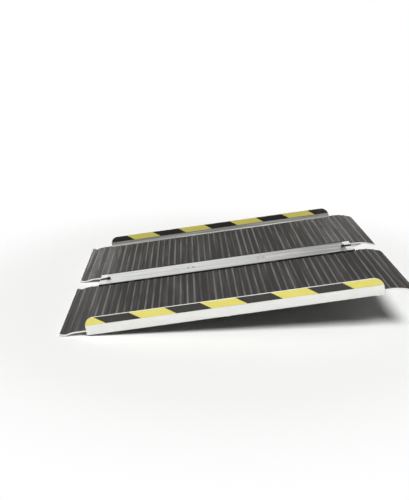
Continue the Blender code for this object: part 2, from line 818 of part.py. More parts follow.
def spine_outline():
    under = STRIP_RISE - PLATE_THICKNESS
    rib = CHANNEL_HALF_WIDTH + RIB_WALL
    floor = GROOVE_FLOOR_WIDTH / 2
    half = [(floor, STRIP_RISE - GROOVE_DEPTH), (GROOVE_WIDTH / 2, STRIP_RISE)]
    half += [tuple(point) for point in socket_side()]
    half += [
        (rib, under),
        (rib, -PROFILE_DROP),
        (CHANNEL_HALF_WIDTH - PROFILE_FOOT, -PROFILE_DROP),
        (CHANNEL_HALF_WIDTH - PROFILE_FOOT, -PROFILE_DROP + RIB_WALL),
        (CHANNEL_HALF_WIDTH, -PROFILE_DROP + RIB_WALL),
        (CHANNEL_HALF_WIDTH, under),
        (floor, under),
    ]
    return both_sides(half)


def screw_places(at_top):
    """The two screws of one end of the strap."""
    middle = (STRIP_START + STRIP_END) / 2
    places = (STRAP_SPAN / 2 - SCREW_SPACING, STRAP_SPAN / 2)
    return [middle + place if at_top else middle - place for place in places]


def strap_screw_holes(target, name):
    for end, at_top in (("lower", False), ("upper", True)):
        for number, place in enumerate(screw_places(at_top), 1):
            hole = round_solid(
                f"{name}_{end}_hole_{number}",
                SCREW_RADIUS + HOLE_GAP,
                "Z",
                -PROFILE_DROP,
                STRIP_RISE + WALL,
                (place, 0.0),
            )
            cut(target, hole)


def make_spine():
    """The extruded centre profile, slotted at both ends for the lock necks."""
    spine = outline_solid(
        "spine", spine_outline(), "X", STRIP_START + CAP_LENGTH + GAP, STRIP_END - CAP_LENGTH - GAP
    )
    for end, at_top in (("lower", False), ("upper", True)):
        start, finish_at = end_run(at_top, CAP_LENGTH - WALL, LOCK_SLOT_LENGTH)
        slot = outline_solid(
            f"spine_{end}_slot",
            rectangle(start, finish_at, -LOCK_SLOT_HALF_WIDTH, LOCK_SLOT_HALF_WIDTH),
            "Z",
            0.0,
            STRIP_RISE + WALL,
        )
        cut(spine, slot)
    strap_screw_holes(spine, "spine")
    return finish(spine, "spine_profile", PROFILE_SILVER)


def cap_outline():
    """The end cap's section: both sockets, and a block between them."""
    centre = (AXIS_OUT, AXIS_RISE)
    top = math.degrees(math.asin((STRIP_RISE - AXIS_RISE) / SOCKET_RADIUS))
    side = AXIS_OUT - CAP_SIDE_INSET
    half = arc(centre, SOCKET_RADIUS, 180 - top, SOCKET_LIP_ANGLE, BULB_STEP)
    half += arc(centre, SOCKET_OUTER, SOCKET_LIP_ANGLE, CAP_SHOULDER_ANGLE, BULB_STEP)
    half += [(side, AXIS_RISE - CAP_SHOULDER_DROP), (side, -PROFILE_DROP)]
    return both_sides([tuple(point) for point in half])


def neck_runs():
    """The lock's neck as it stands at rest, counted in from the strip's end."""
    inner = LOCK_SLOT_LENGTH - FREE_GAP - GAP
    return inner - LOCK_NECK_LENGTH, inner


def make_end_cap(name, at_top):
    """The white end cap: a fork that holds the lock bar between its jaws and plugs into the channel."""
    cap = outline_solid(name, cap_outline(), "X", *end_run(at_top, 0.0, CAP_LENGTH))
    tenon_half = CHANNEL_HALF_WIDTH - GAP
    tenon = outline_solid(
        f"{name}_tenon",
        rectangle(
            -tenon_half, tenon_half, -PROFILE_DROP + RIB_WALL + GAP, STRIP_RISE - PLATE_THICKNESS - GAP
        ),
        "X",
        *end_run(at_top, CAP_LENGTH - WALL, CAP_LENGTH + TENON_LENGTH),
    )
    past = CAP_LENGTH + TENON_LENGTH + WALL
    out = LOCK_BAR_OUT + FREE_GAP
    bar_space = outline_solid(
        f"{name}_bar_space",
        rectangle(-out, out, LOCK_BAR_LOW - FREE_GAP, LOCK_BAR_TOP + FREE_GAP),
        "X",
        *end_run(at_top, LOCK_EYE_LENGTH, past),
    )
    slot = outline_solid(
        f"{name}_slot",
        rectangle(*end_run(at_top, -WALL, past), -LOCK_SLOT_HALF_WIDTH, LOCK_SLOT_HALF_WIDTH),
        "Z",
        STRIP_RISE - LOCK_SLOT_DEPTH,
        STRIP_RISE + WALL,
    )
    neck_way = outline_solid(
        f"{name}_neck_way",
        rectangle(
            *end_run(at_top, neck_runs()[0] - LOCK_TRAVEL - FREE_GAP, past),
            -LOCK_SLOT_HALF_WIDTH,
            LOCK_SLOT_HALF_WIDTH,
        ),
        "Z",
        LOCK_PIN_RISE,
        STRIP_RISE - LOCK_SLOT_DEPTH / 2,
    )
    join(cap, tenon)
    cut(cap, bar_space)
    cut(cap, slot)
    cut(cap, neck_way)
    return finish(cap, name, CAP_WHITE)


def make_lock_guide(name, at_top):
    """The guide plate over cap and profile, with the slot that the lock's neck runs in."""
    low = STRIP_RISE + GAP
    high = low + LOCK_GUIDE_THICKNESS
    half = LOCK_GUIDE_HALF_WIDTH
    neck_near, neck_far = neck_runs()
    guide = outline_solid(
        name,
        rectangle(*end_run(at_top, LOCK_GUIDE_START, LOCK_GUIDE_END), -half, half),
        "Z",
        low,
        high,
        LOCK_GUIDE_ROUND,
    )
    slot = outline_solid(
        f"{name}_slot",
        rectangle(
            *end_run(at_top, neck_near - LOCK_TRAVEL - FREE_GAP, neck_far + FREE_GAP),
            -LOCK_SLOT_HALF_WIDTH,
            LOCK_SLOT_HALF_WIDTH,
        ),
        "Z",
        low - WALL,
        high + WALL,
    )
    cut(guide, slot)
    return finish(guide, name, LOCK_BLACK)


def make_lock_slide(name, at_top, parent):
    """The lock: a cross bar with a pin for each half, a tongue into the channel, a neck and a knob."""
    bar_far = LOCK_BAR_NEAR + LOCK_BAR_LENGTH
    neck_near, neck_far = neck_runs()
    out, back, tip = (end_u(at_top, run) for run in (LOCK_BAR_NEAR, bar_far, neck_far + GAP))
    wide = LOCK_BAR_OUT
    slim = LOCK_TONGUE_HALF_WIDTH
    slide = outline_solid(
        name,
        [(out, -wide), (back, -wide), (back, -slim), (tip, -slim)]
        + [(tip, slim), (back, slim), (back, wide), (out, wide)],
        "Z",
        LOCK_BAR_LOW,
        LOCK_BAR_TOP,
    )
    for side, word in ((-1, "near"), (1, "far")):
        pin = round_solid(
            f"{name}_{word}_pin",
            LOCK_PIN_RADIUS,
            "X",
            *end_run(at_top, LOCK_BAR_NEAR - LOCK_PIN_LENGTH, LOCK_BAR_NEAR + LOCK_BAR_LENGTH / 2),
            (side * AXIS_OUT, LOCK_PIN_RISE),
        )
        join(slide, pin)
    neck_half = LOCK_SLOT_HALF_WIDTH - FREE_GAP
    neck = outline_solid(
        f"{name}_neck",
        rectangle(*end_run(at_top, neck_near, neck_far), -neck_half, neck_half),
        "Z",
        LOCK_PIN_RISE,
        LOCK_KNOB_SEAT + LOCK_KNOB_HEIGHT / 2,
    )
    knob_grow = (LOCK_KNOB_LENGTH - LOCK_NECK_LENGTH) / 2
    knob = outline_solid(
        f"{name}_knob",
        rectangle(
            *end_run(at_top, neck_near - knob_grow, neck_far + knob_grow),
            -LOCK_KNOB_HALF_WIDTH,
            LOCK_KNOB_HALF_WIDTH,
        ),
        "Z",
        LOCK_KNOB_SEAT,
        LOCK_KNOB_SEAT + LOCK_KNOB_HEIGHT,
        LOCK_KNOB_ROUND,
    )
    join(slide, neck)
    join(slide, knob)
    return finish(slide, name, LOCK_BLACK, parent)


# Carrying strap


def strap_outline():
    """The strap: flat under the plate at both clamps, with a smooth bow between them for the fingers."""
    middle = (STRIP_START + STRIP_END) / 2
    top = STRIP_RISE - PLATE_THICKNESS - GAP
    clamp_out = STRAP_SPAN / 2 + (CLAMP_LENGTH - SCREW_SPACING) / 2
    clamp_in = clamp_out - CLAMP_LENGTH - WALL
    line = [(middle - clamp_out, top)]
    for i in range(STRAP_STEPS + 1):
        share = i / STRAP_STEPS
        drop = STRAP_BOW * max(0.0, math.sin(math.pi * share)) ** STRAP_BOW_SHAPE
        line.append((middle - clamp_in + 2 * clamp_in * share, top - drop))
    line.append((middle + clamp_out, top))
    lower = [(u, w - STRAP_THICKNESS) for u, w in line]
    return lower + line[::-1]


def make_strap():
    strap = outline_solid("strap", strap_outline(), "Y", -STRAP_HALF_WIDTH, STRAP_HALF_WIDTH)
    strap_screw_holes(strap, "strap")
    return finish(strap, "carry_strap", STRAP_BLACK)


def make_strap_clamp(name, at_top):
    """A steel plate with two tapped holes under the strap's end."""
    top = STRIP_RISE - PLATE_THICKNESS - STRAP_THICKNESS - 2 * GAP
    middle = sum(screw_places(at_top)) / 2
    half = CLAMP_LENGTH / 2
    clamp = outline_solid(
        name,
        rectangle(middle - half, middle + half, -CLAMP_HALF_WIDTH, CLAMP_HALF_WIDTH),
        "Z",
        top - CLAMP_THICKNESS,
        top,
    )
    for number, place in enumerate(screw_places(at_top), 1):
        hole = round_solid(
            f"{name}_hole_{number}",
            SCREW_RADIUS + HOLE_GAP,
            "Z",
            top - 2 * CLAMP_THICKNESS,
            top + CLAMP_THICKNESS,
            (place, 0.0),
        )
        cut(clamp, hole)
    return finish(clamp, name, CLAMP_STEEL)


def make_strap_screw(name, place):
    """Pan head on the profile, shank down through the strap and the clamp."""
    seat = STRIP_RISE + GAP
    low = STRIP_RISE - PLATE_THICKNESS - STRAP_THICKNESS - 2 * GAP - CLAMP_THICKNESS - SCREW_RADIUS
    head = round_solid(name, SCREW_HEAD_RADIUS, "Z", seat, seat + SCREW_HEAD_HEIGHT, (place, 0.0))
    shank = round_solid(f"{name}_shank", SCREW_RADIUS, "Z", low, seat + GAP, (place, 0.0))
    join(head, shank)
    return finish(head, name, CLAMP_STEEL)


def make_half(word, side):
    axis = Vector((0.0, side * AXIS_OUT, AXIS_RISE + STAND))
    body = body_empty(f"{word}_fold_axis", axis)
    inner_face = KERB_FACE - WALL - GAP - TAPE_THICKNESS
    make_panel(f"{word}_panel", side, body)
    make_grip_sheet(f"{word}_grip_sheet", side, body)
    make_tape(f"{word}_outer_tape", side, KERB_FACE + GAP, body)
    make_tape(f"{word}_inner_tape", side, inner_face, body)
    make_core(f"{word}_core", side, body)
    make_under_skin(f"{word}_under_skin", side, body)
    lower_end = LOWER_PAD_START + LOWER_PAD_LENGTH
    upper_end = LINE_LENGTH - UPPER_PAD_END
    make_pad(f"{word}_lower_pad", side, LOWER_PAD_START, lower_end, body)
    make_pad(f"{word}_upper_pad", side, upper_end - UPPER_PAD_LENGTH, upper_end, body)
    make_hinge_leaf(f"{word}_hinge_leaf", side, body)
    make_leaf_plug(f"{word}_lower_leaf_plug", side, False, body)
    make_leaf_plug(f"{word}_upper_leaf_plug", side, True, body)
    make_edge_seal(f"{word}_edge_seal", side, body)
    for number, place in enumerate(rivet_places(), 1):
        make_rivet(f"{word}_leaf_rivet_{number}", side, place, body)


def make_centre():
    make_spine()
    make_strap()
    for word, at_top in (("lower", False), ("upper", True)):
        make_end_cap(f"{word}_end_cap", at_top)
        make_lock_guide(f"{word}_lock_guide", at_top)
        make_strap_clamp(f"{word}_strap_clamp", at_top)
        for number, place in enumerate(screw_places(at_top), 1):
            make_strap_screw(f"{word}_strap_screw_{number}", place)
        u = STRIP_END if at_top else STRIP_START
        body = body_empty(f"{word}_lock_travel", Vector((u - MIDDLE, 0.0, AXIS_RISE + STAND)))
        make_lock_slide(f"{word}_lock_slide", at_top, body)


clear_scene()
PARTS = new_collection("portable_ramp")
CUTTERS = new_collection("cutters")
SHELL_WHITE = material("white_composite", WHITE, 0.35)
GRIP_BLACK = material("black_grit", GRIT, 0.9)
TAPE_HAZARD = hazard_material("hazard_tape")
CORE_FOAM = material("foam_core", FOAM, 0.9)
PAD_RUBBER = material("pad_rubber", BLACK, 0.8)
PROFILE_SILVER = material("silver_profile", SILVER, 0.35, 0.9)
CAP_WHITE = material("white_cap", WHITE, 0.4)
LOCK_BLACK = material("black_lock", BLACK, 0.5)
STRAP_BLACK = material("black_strap", BLACK, 0.7)
CLAMP_STEEL = material("steel", SILVER, 0.3, 1.0)
make_centre()
make_half("near", -1)
make_half("far", 1)
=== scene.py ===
import json
import math

import bmesh
import bpy
from mathutils import Matrix, Vector

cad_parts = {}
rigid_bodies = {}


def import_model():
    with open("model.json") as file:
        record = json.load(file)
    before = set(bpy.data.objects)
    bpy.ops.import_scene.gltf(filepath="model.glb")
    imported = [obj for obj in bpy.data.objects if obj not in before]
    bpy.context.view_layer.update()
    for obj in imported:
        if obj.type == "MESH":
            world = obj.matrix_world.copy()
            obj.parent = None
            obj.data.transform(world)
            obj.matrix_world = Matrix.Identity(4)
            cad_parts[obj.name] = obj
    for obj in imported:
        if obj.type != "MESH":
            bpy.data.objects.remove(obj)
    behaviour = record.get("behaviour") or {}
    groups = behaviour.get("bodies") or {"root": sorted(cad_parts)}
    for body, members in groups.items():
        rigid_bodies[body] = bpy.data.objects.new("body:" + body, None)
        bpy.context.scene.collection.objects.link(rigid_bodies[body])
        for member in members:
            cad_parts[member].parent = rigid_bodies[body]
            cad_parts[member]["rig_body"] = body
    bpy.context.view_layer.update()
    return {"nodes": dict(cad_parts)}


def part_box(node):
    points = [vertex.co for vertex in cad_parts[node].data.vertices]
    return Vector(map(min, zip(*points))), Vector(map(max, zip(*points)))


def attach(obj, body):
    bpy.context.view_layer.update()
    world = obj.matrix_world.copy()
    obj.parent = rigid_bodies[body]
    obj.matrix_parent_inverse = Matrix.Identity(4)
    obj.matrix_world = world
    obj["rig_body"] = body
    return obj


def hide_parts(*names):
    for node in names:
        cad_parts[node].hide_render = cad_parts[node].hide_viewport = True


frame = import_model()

# The studio: the ramp lies with its lower nose on a pale floor, at the slope that it has in use, and the
# camera stands beside it. The ramp's own frame is level, so the floor is what tilts.

RAMP_SLOPE = math.radians(7.77)
UP = Vector((math.sin(RAMP_SLOPE), 0, math.cos(RAMP_SLOPE)))
ALONG = Vector((math.cos(RAMP_SLOPE), 0, -math.sin(RAMP_SLOPE)))
ACROSS = Vector((0, 1, 0))
WHITE = (1, 1, 1, 1)

CAMERA_PLACE = Vector((-0.0393, -2.1290, 0.7482))
CAMERA_PITCH = math.radians(17.43)
CAMERA_YAW = math.radians(1.72)
CAMERA_LENS = 51.26

FLOOR_HALF_SIZE = 9.0
FLOOR_COLOR = (0.91, 0.91, 0.90, 1)
FLOOR_SHOWS_WITHIN = 0.6
FLOOR_FADES_BY = 1.1

LAMP_FROM = Vector((0.1, -1.32, 2.2))
LAMP_SPREAD = math.radians(27)
LAMP_STRENGTH = 3.4
SKY_STRENGTH = 0.05
WALL_WHITE_BELOW = 0.12
WALL_GREY_ABOVE = 0.30
WALL_GREY_FROM = -0.10
WALL_GREY_TO = 0.20
WALL_GREY = 0.28


def feed(node, values):
    """Sets a node's inputs to values, or links other nodes' sockets to them."""
    for key, value in values.items():
        if isinstance(value, bpy.types.NodeSocket):
            node.id_data.links.new(value, node.inputs[key])
        else:
            node.inputs[key].default_value = value


def add(tree, kind, inputs=None, **settings):
    """A new node with its settings, and with its inputs fed."""
    made = tree.nodes.new(kind)
    for key, value in settings.items():
        setattr(made, key, value)
    feed(made, inputs or {})
    return made


def worked(operation, *terms, clamped=False):
    """The result of one sum on numbers, in the tree that its sockets belong to."""
    tree = next(term.id_data for term in terms if isinstance(term, bpy.types.NodeSocket))
    made = add(tree, "ShaderNodeMath", dict(enumerate(terms)), operation=operation, use_clamp=clamped)
    return made.outputs[0]


def on_vectors(operation, *terms):
    """The result of one sum on vectors: a number for a length or a dot product, or else a vector."""
    made = add(terms[0].id_data, "ShaderNodeVectorMath", dict(enumerate(terms)), operation=operation)
    return made.outputs["Value" if operation in ("LENGTH", "DOT_PRODUCT") else "Vector"]


def ramped(value, low, high, to_low=0.0, to_high=1.0):
    """The value, spread smoothly from one range to another."""
    sizes = {"Value": value, "From Min": low, "From Max": high, "To Min": to_low, "To Max": to_high}
    made = add(value.id_data, "ShaderNodeMapRange", sizes, interpolation_type="SMOOTHSTEP")
    return made.outputs["Result"]


def spaced(values):
    """The values under their sockets' names, with a space for every low line."""
    return {label.replace("_", " "): value for label, value in values.items()}


def new_finish(name, **values):
    """A material, its shader with these values, and the piece's own coordinates."""
    made = bpy.data.materials.new(name)
    made.use_nodes = True
    paint = made.node_tree.nodes["Principled BSDF"]
    feed(paint, spaced(values))
    return made, paint, add(made.node_tree, "ShaderNodeTexCoord").outputs["Object"]


def placed(name, data):
    """A new object of this data, in the scene."""
    made = bpy.data.objects.new(name, data)
    bpy.context.scene.collection.objects.link(made)
    return made


def mesh_of(name, shape, finish):
    """The mesh of a finished shape, in one finish."""
    mesh = bpy.data.meshes.new(name)
    shape.to_mesh(mesh)
    shape.free()
    mesh.materials.append(finish)
    return mesh


def turned_to(forward, up):
    """The rotation of a camera or lamp that looks along forward."""
    right = forward.cross(up).normalized()
    return Matrix((right, right.cross(forward), -forward)).transposed().to_4x4()


def place_camera():
    """It stands on the near side and looks across the ramp, a little towards its upper end and down."""
    flat = math.cos(CAMERA_PITCH)
    forward = ALONG * math.sin(CAMERA_YAW) * flat
    forward += ACROSS * math.cos(CAMERA_YAW) * flat
    forward -= UP * math.sin(CAMERA_PITCH)
    data = bpy.data.cameras.new("camera")
    data.lens = CAMERA_LENS
    camera = placed("camera", data)
    camera.matrix_world = Matrix.Translation(CAMERA_PLACE) @ turned_to(forward, UP)
    bpy.context.scene.camera = camera


def shown_rays(tree):
    """1 for the rays that show the background: straight from the camera, mirrored or let through."""
    rays = add(tree, "ShaderNodeLightPath").outputs
    seen = worked("MAXIMUM", rays["Is Camera Ray"], rays["Is Glossy Ray"])
    return worked("MAXIMUM", seen, rays["Is Transmission Ray"])


def floor_material():
    """Pale paint that keeps the shadow near the ramp and fades into the white background."""
    made, paint, place = new_finish("floor", Base_Color=FLOOR_COLOR, Roughness=0.9, Specular_IOR_Level=0.1)
    tree = made.node_tree
    fade = ramped(on_vectors("LENGTH", place), FLOOR_SHOWS_WITHIN, FLOOR_FADES_BY)
    shown = worked("MULTIPLY", fade, shown_rays(tree))
    white = add(tree, "ShaderNodeEmission", {"Color": WHITE, "Strength": 1.0})
    both = add(tree, "ShaderNodeMixShader", {0: shown, 1: paint.outputs[0], 2: white.outputs[0]})
    feed(tree.nodes["Material Output"], {"Surface": both.outputs[0]})
    return made


def place_floor():
    """A flat floor square to UP, under the lowest point of the lower rubber pads."""
    lowest = min(vertex.co.dot(UP) for vertex in frame["nodes"]["near_lower_pad"].data.vertices)
    tilt = Matrix((ALONG, ACROSS, UP)).transposed().to_4x4()
    shape = bmesh.new()
    bmesh.ops.create_grid(shape, x_segments=1, y_segments=1, size=FLOOR_HALF_SIZE)
    bmesh.ops.transform(shape, verts=shape.verts, matrix=Matrix.Translation(UP * lowest) @ tilt)
    floor = placed("floor", mesh_of("floor", shape, floor_material()))


def place_lights():
    """A broad far lamp from above the front, and a white room, grey high up on the right."""
    spot = ALONG * LAMP_FROM.x + ACROSS * LAMP_FROM.y + UP * LAMP_FROM.z
    data = bpy.data.lights.new("far_lamp", "SUN")
    data.energy = LAMP_STRENGTH
    data.angle = LAMP_SPREAD
    lamp = placed("far_lamp", data)
    lamp.matrix_world = Matrix.Translation(spot) @ turned_to(-spot.normalized(), ACROSS + UP)
    world = bpy.data.worlds.new("studio")
    world.use_nodes = True
    bpy.context.scene.world = world
    tree = world.node_tree
    sky = tree.nodes["Background"]
    feed(sky, {"Color": WHITE, "Strength": SKY_STRENGTH})
    way = add(tree, "ShaderNodeTexCoord").outputs["Generated"]
    high = on_vectors("DOT_PRODUCT", way, UP)
    aside = on_vectors("DOT_PRODUCT", way, ALONG)
    right = ramped(aside, WALL_GREY_FROM, WALL_GREY_TO, 1.0, WALL_GREY)
    wall = ramped(high, WALL_WHITE_BELOW, WALL_GREY_ABOVE, 1.0, right)
    shown = add(tree, "ShaderNodeBackground", {"Color": WHITE, "Strength": wall})
    both = add(tree, "ShaderNodeMixShader", {0: shown_rays(tree), 1: sky.outputs[0], 2: shown.outputs[0]})
    feed(tree.nodes["World Output"], {"Surface": both.outputs[0]})
    bpy.context.scene.view_settings.view_transform = "Standard"


place_camera()
place_floor()
place_lights()

# The half decks: each is one moulding in glass fibre and resin, with its two formed lips, its kerb and both
# flanges, laid up on a polished mould and sprayed with white gel coat. Its trimmed edges are eased by hand.

SIDES = {"near": -1, "far": 1}
GEL_WHITE = (0.785, 0.790, 0.765, 1)
GEL_WORN = (0.50, 0.49, 0.46, 1)
# The gel coat's grey for dirt in scratches and for a dusting in creases, where it is also painted shade.
GEL_DUST_AND_SHADE = (0.47, 0.455, 0.42, 1)
ORANGE_PEEL = 0.00006
# Painted shade: the kerb's inner face is greyed between these distances from the middle, above this height.
KERB_SHADE_GREY = (0.215, 0.212, 0.203, 1)
KERB_SHADE_FROM = 0.3702
KERB_SHADE_FULL = 0.3737
KERB_SHADE_TO = 0.3759
KERB_SHADE_ABOVE = 0.0195
PANEL_EASE = 0.0005
FLAT_ANGLE = math.radians(0.4)
EASED_ANGLE = math.radians(60)
SHADED_SHARP = math.radians(35)
MERGE = 0.000002


def socket_kind(value):
    """The kind of socket that holds a number, a vector or a colour."""
    if isinstance(value, float):
        return "NodeSocketFloat"
    return "NodeSocketColor" if len(value) == 4 else "NodeSocketVector"


def new_group(name, output, kind, **inputs):
    """An empty shader group: coordinates and inputs with their first values go in, one output comes out."""
    tree = bpy.data.node_groups.new(name, "ShaderNodeTree")
    tree.interface.new_socket("Vector", in_out="INPUT", socket_type="NodeSocketVector")
    for label, first in spaced(inputs).items():
        socket = tree.interface.new_socket(label, in_out="INPUT", socket_type=socket_kind(first))
        socket.default_value = first
    tree.interface.new_socket(output, in_out="OUTPUT", socket_type=kind)
    return tree, add(tree, "NodeGroupInput").outputs, add(tree, "NodeGroupOutput")


def product(*factors):
    """All the factors, multiplied from the first to the last."""
    total = factors[0]
    for factor in factors[1:]:
        total = worked("MULTIPLY", total, factor)
    return total


def scaled(vector, share):
    """A vector or a colour times a number."""
    inputs = {0: vector, 3: share}
    return add(vector.id_data, "ShaderNodeVectorMath", inputs, operation="SCALE").outputs["Vector"]


def live(sockets):
    """The numbers of the sockets that a node of several data types has switched on, by their names."""
    return {socket.name: number for number, socket in enumerate(sockets) if socket.enabled}


def mixed(share, first, second):
    """A colour between two colours."""
    made = add(share.id_data, "ShaderNodeMix", data_type="RGBA")
    numbers = live(made.inputs)
    feed(made, {numbers["Factor"]: share, numbers["A"]: first, numbers["B"]: second})
    return made.outputs[live(made.outputs)["Result"]]


def coordinates(vector):
    """The X, Y and Z of a vector."""
    return add(vector.id_data, "ShaderNodeSeparateXYZ", {0: vector}).outputs


def noise(place, scale, **values):
    """Clouds from 0 to 1, about one to each 1/scale of a metre."""
    inputs = {"Vector": place, "Scale": scale, **values}
    return add(place.id_data, "ShaderNodeTexNoise", inputs).outputs["Fac"]


def streaks(place, scales, **values):
    """Clouds drawn out into streaks, with one scale along each axis."""
    drawn = add(place.id_data, "ShaderNodeMapping", {"Vector": place, "Scale": scales}).outputs[0]
    return noise(drawn, 1.0, **values)


def off_middle(cloud):
    """How far a cloud is from its middle value: 0 along thin winding lines."""
    return worked("ABSOLUTE", worked("SUBTRACT", cloud, 0.5))


def tone_drift_group():
    """Slow changes of tone over a surface, as paint, plastic and rubber have."""
    values = {"Color": WHITE, "Scale": 8.0, "Depth": 0.05}
    tree, given, result = new_group("tone_drift", "Color", "NodeSocketColor", **values)
    cloud = noise(given["Vector"], given["Scale"], Detail=4.0, Roughness=0.6)
    share = worked("MULTIPLY_ADD", worked("SUBTRACT", cloud, 0.5), given["Depth"], 1.0)
    feed(result, {"Color": scaled(given["Color"], share)})
    return tree


def edge_wear_group():
    """Where edges have been rubbed: 1 on the edge, broken up, 0 on the flats."""
    values = {"Width": 0.0012, "Break_Up": 90.0, "Amount": 0.5}
    tree, given, result = new_group("edge_wear", "Mask", "NodeSocketFloat", **values)
    rounded = add(tree, "ShaderNodeBevel", {"Radius": given["Width"]}, samples=4).outputs[0]
    flat = add(tree, "ShaderNodeNewGeometry").outputs["Normal"]
    edge = ramped(on_vectors("DOT_PRODUCT", rounded, flat), 0.995, 0.86)
    broken = ramped(noise(given["Vector"], given["Break Up"], Detail=5.0), 0.42, 0.62)
    feed(result, {"Mask": product(edge, broken, given["Amount"])})
    return tree


def crease_dust_and_shade_group():
    """Corners and the undersides of edges, found by ambient occlusion: 0 in the open, up to Amount in a
    crease. Where it lightens a colour it is a dusting; where it darkens one it is painted shade.
    """
    tree, given, result = new_group("crease_dust_and_shade", "Mask", "NodeSocketFloat", Reach=0.012, Amount=0.5)
    open_share = add(tree, "ShaderNodeAmbientOcclusion", {"Distance": given["Reach"]}, samples=6)
    crease = ramped(open_share.outputs["AO"], 0.95, 0.35)
    patchy = ramped(noise(given["Vector"], 60.0, Detail=6.0), 0.3, 0.7, 0.4, 1.0)
    feed(result, {"Mask": product(crease, patchy, given["Amount"])})
    return tree


def hair_scratches_group():
    """Fine scratches from handling: thin broken lines that mostly run one way."""
    values = {"Stretch": (6.0, 90.0, 90.0), "Amount": 0.5}
    tree, given, result = new_group("hair_scratches", "Mask", "NodeSocketFloat", **values)
    drawn = on_vectors("MULTIPLY", given["Vector"], given["Stretch"])
    thin = ramped(off_middle(noise(drawn, 1.0, Detail=2.0, Roughness=0.4)), 0.012, 0.002)
    here = ramped(noise(given["Vector"], 25.0, Detail=3.0), 0.5, 0.66)
    feed(result, {"Mask": product(thin, here, given["Amount"])})
    return tree


TONE_DRIFT = tone_drift_group()
EDGE_WEAR = edge_wear_group()
CREASE_DUST_AND_SHADE = crease_dust_and_shade_group()
HAIR_SCRATCHES = hair_scratches_group()


def effect(group, place, **values):
    """The output of a shared effect with its own values."""
    inputs = {"Vector": place, **spaced(values)}
    return add(place.id_data, "ShaderNodeGroup", inputs, node_tree=group).outputs[0]


def bumped(height, relief):
    """A surface's normal, raised by a height that is given as a share of the relief in metres."""
    return add(height.id_data, "ShaderNodeBump", {"Height": height, "Distance": relief}).outputs[0]


def kerb_painted_shade(place):
    """Painted shade on the kerb's inner face: a grey band, broken into streaks that run with the kerb."""
    spot = coordinates(place)
    out = worked("ABSOLUTE", spot["Y"])
    band = product(
        ramped(out, KERB_SHADE_FROM, KERB_SHADE_FULL, 0.3, 1.0),
        worked("GREATER_THAN", out, KERB_SHADE_FROM),
        worked("LESS_THAN", out, KERB_SHADE_TO),
        worked("GREATER_THAN", spot["Z"], KERB_SHADE_ABOVE),
    )
    lines = streaks(place, (5.0, 260.0, 260.0), Detail=4.0, Roughness=0.6)
    return worked("MULTIPLY", band, ramped(lines, 0.3, 0.66, 0.55, 0.95))


def gel_coat_finish():
    """White gel coat: glossy, with orange peel, hair scratches, rubbed edges, a dusting and painted shade in
    the corners, and painted shade on the kerb's inner face.
    """
    made, paint, place = new_finish("gel_coat", Roughness=0.3, Coat_Weight=0.25, Coat_Roughness=0.12)
    white = effect(TONE_DRIFT, place, Color=GEL_WHITE, Scale=7.0, Depth=0.07)
    rubbed = effect(EDGE_WEAR, place, Width=0.0011, Break_Up=130.0, Amount=0.55)
    crease_mask = effect(CREASE_DUST_AND_SHADE, place, Reach=0.014, Amount=0.34)
    scratches = effect(HAIR_SCRATCHES, place, Stretch=(9.0, 150.0, 150.0), Amount=0.5)
    kerb_shade = kerb_painted_shade(place)
    color = mixed(rubbed, white, GEL_WORN)
    # Painted shade, with a dusting: the gel coat's creases are greyed by ambient occlusion.
    color = mixed(crease_mask, color, GEL_DUST_AND_SHADE)
    color = mixed(worked("MULTIPLY", scratches, 0.35), color, GEL_DUST_AND_SHADE)
    # Painted shade greys the kerb's inner face.
    color = mixed(kerb_shade, color, KERB_SHADE_GREY)
    dull = worked("MULTIPLY", worked("MAXIMUM", crease_mask, kerb_shade), 0.4)
    rough = worked("ADD", worked("MULTIPLY_ADD", scratches, 0.3, 0.27), dull)
    peel = noise(place, 260.0, Detail=2.0)
    height = worked("SUBTRACT", peel, worked("MULTIPLY", scratches, 0.5))
    feed(paint, {"Base Color": color, "Roughness": rough, "Normal": bumped(height, ORANGE_PEEL)})
    return made


def merged_shape(node):
    """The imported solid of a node, with its corners merged."""
    shape = bmesh.new()
    shape.from_mesh(frame["nodes"][node].data)
    bmesh.ops.remove_doubles(shape, verts=shape.verts, dist=MERGE)
    return shape


def shaded(mesh):
    """The mesh, shaded smooth except at its sharp edges."""
    mesh.shade_smooth()
    mesh.set_sharp_from_angle(angle=SHADED_SHARP)
    return mesh


def eased_piece(node, finish, width):
    """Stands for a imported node: the same solid with its sharp edges eased, shaded smooth.

    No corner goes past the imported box, also where easing a short edge would push it out.
    """
    shape = merged_shape(node)
    bmesh.ops.dissolve_limit(
        shape, angle_limit=FLAT_ANGLE, verts=shape.verts, edges=shape.edges, delimit={"NORMAL"}
    )
    sharp = [edge for edge in shape.edges if edge.is_manifold and edge.calc_length() > 2 * width]
    sharp = [edge for edge in sharp if edge.calc_face_angle() > EASED_ANGLE]
    bmesh.ops.bevel(
        shape, geom=sharp, offset=width, segments=2, profile=0.5, affect="EDGES", clamp_overlap=False
    )
    low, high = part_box(node)
    for vertex in shape.verts:
        vertex.co = [min(max(value, least), most) for value, least, most in zip(vertex.co, low, high)]
    piece = placed(f"{node}_finished", shaded(mesh_of(f"{node}_finished", shape, finish)))
    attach(piece, frame["nodes"][node]["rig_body"])
    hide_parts(node)
    return piece


GEL_COAT = gel_coat_finish()
for word in SIDES:
    eased_piece(f"{word}_panel", GEL_COAT, PANEL_EASE)

# Under the deck: a foam board between the deck and a bottom skin of glass fibre mat, pressed on from below,
# scarfed off at both ends and painted dark grey. Its strands still show through the paint.

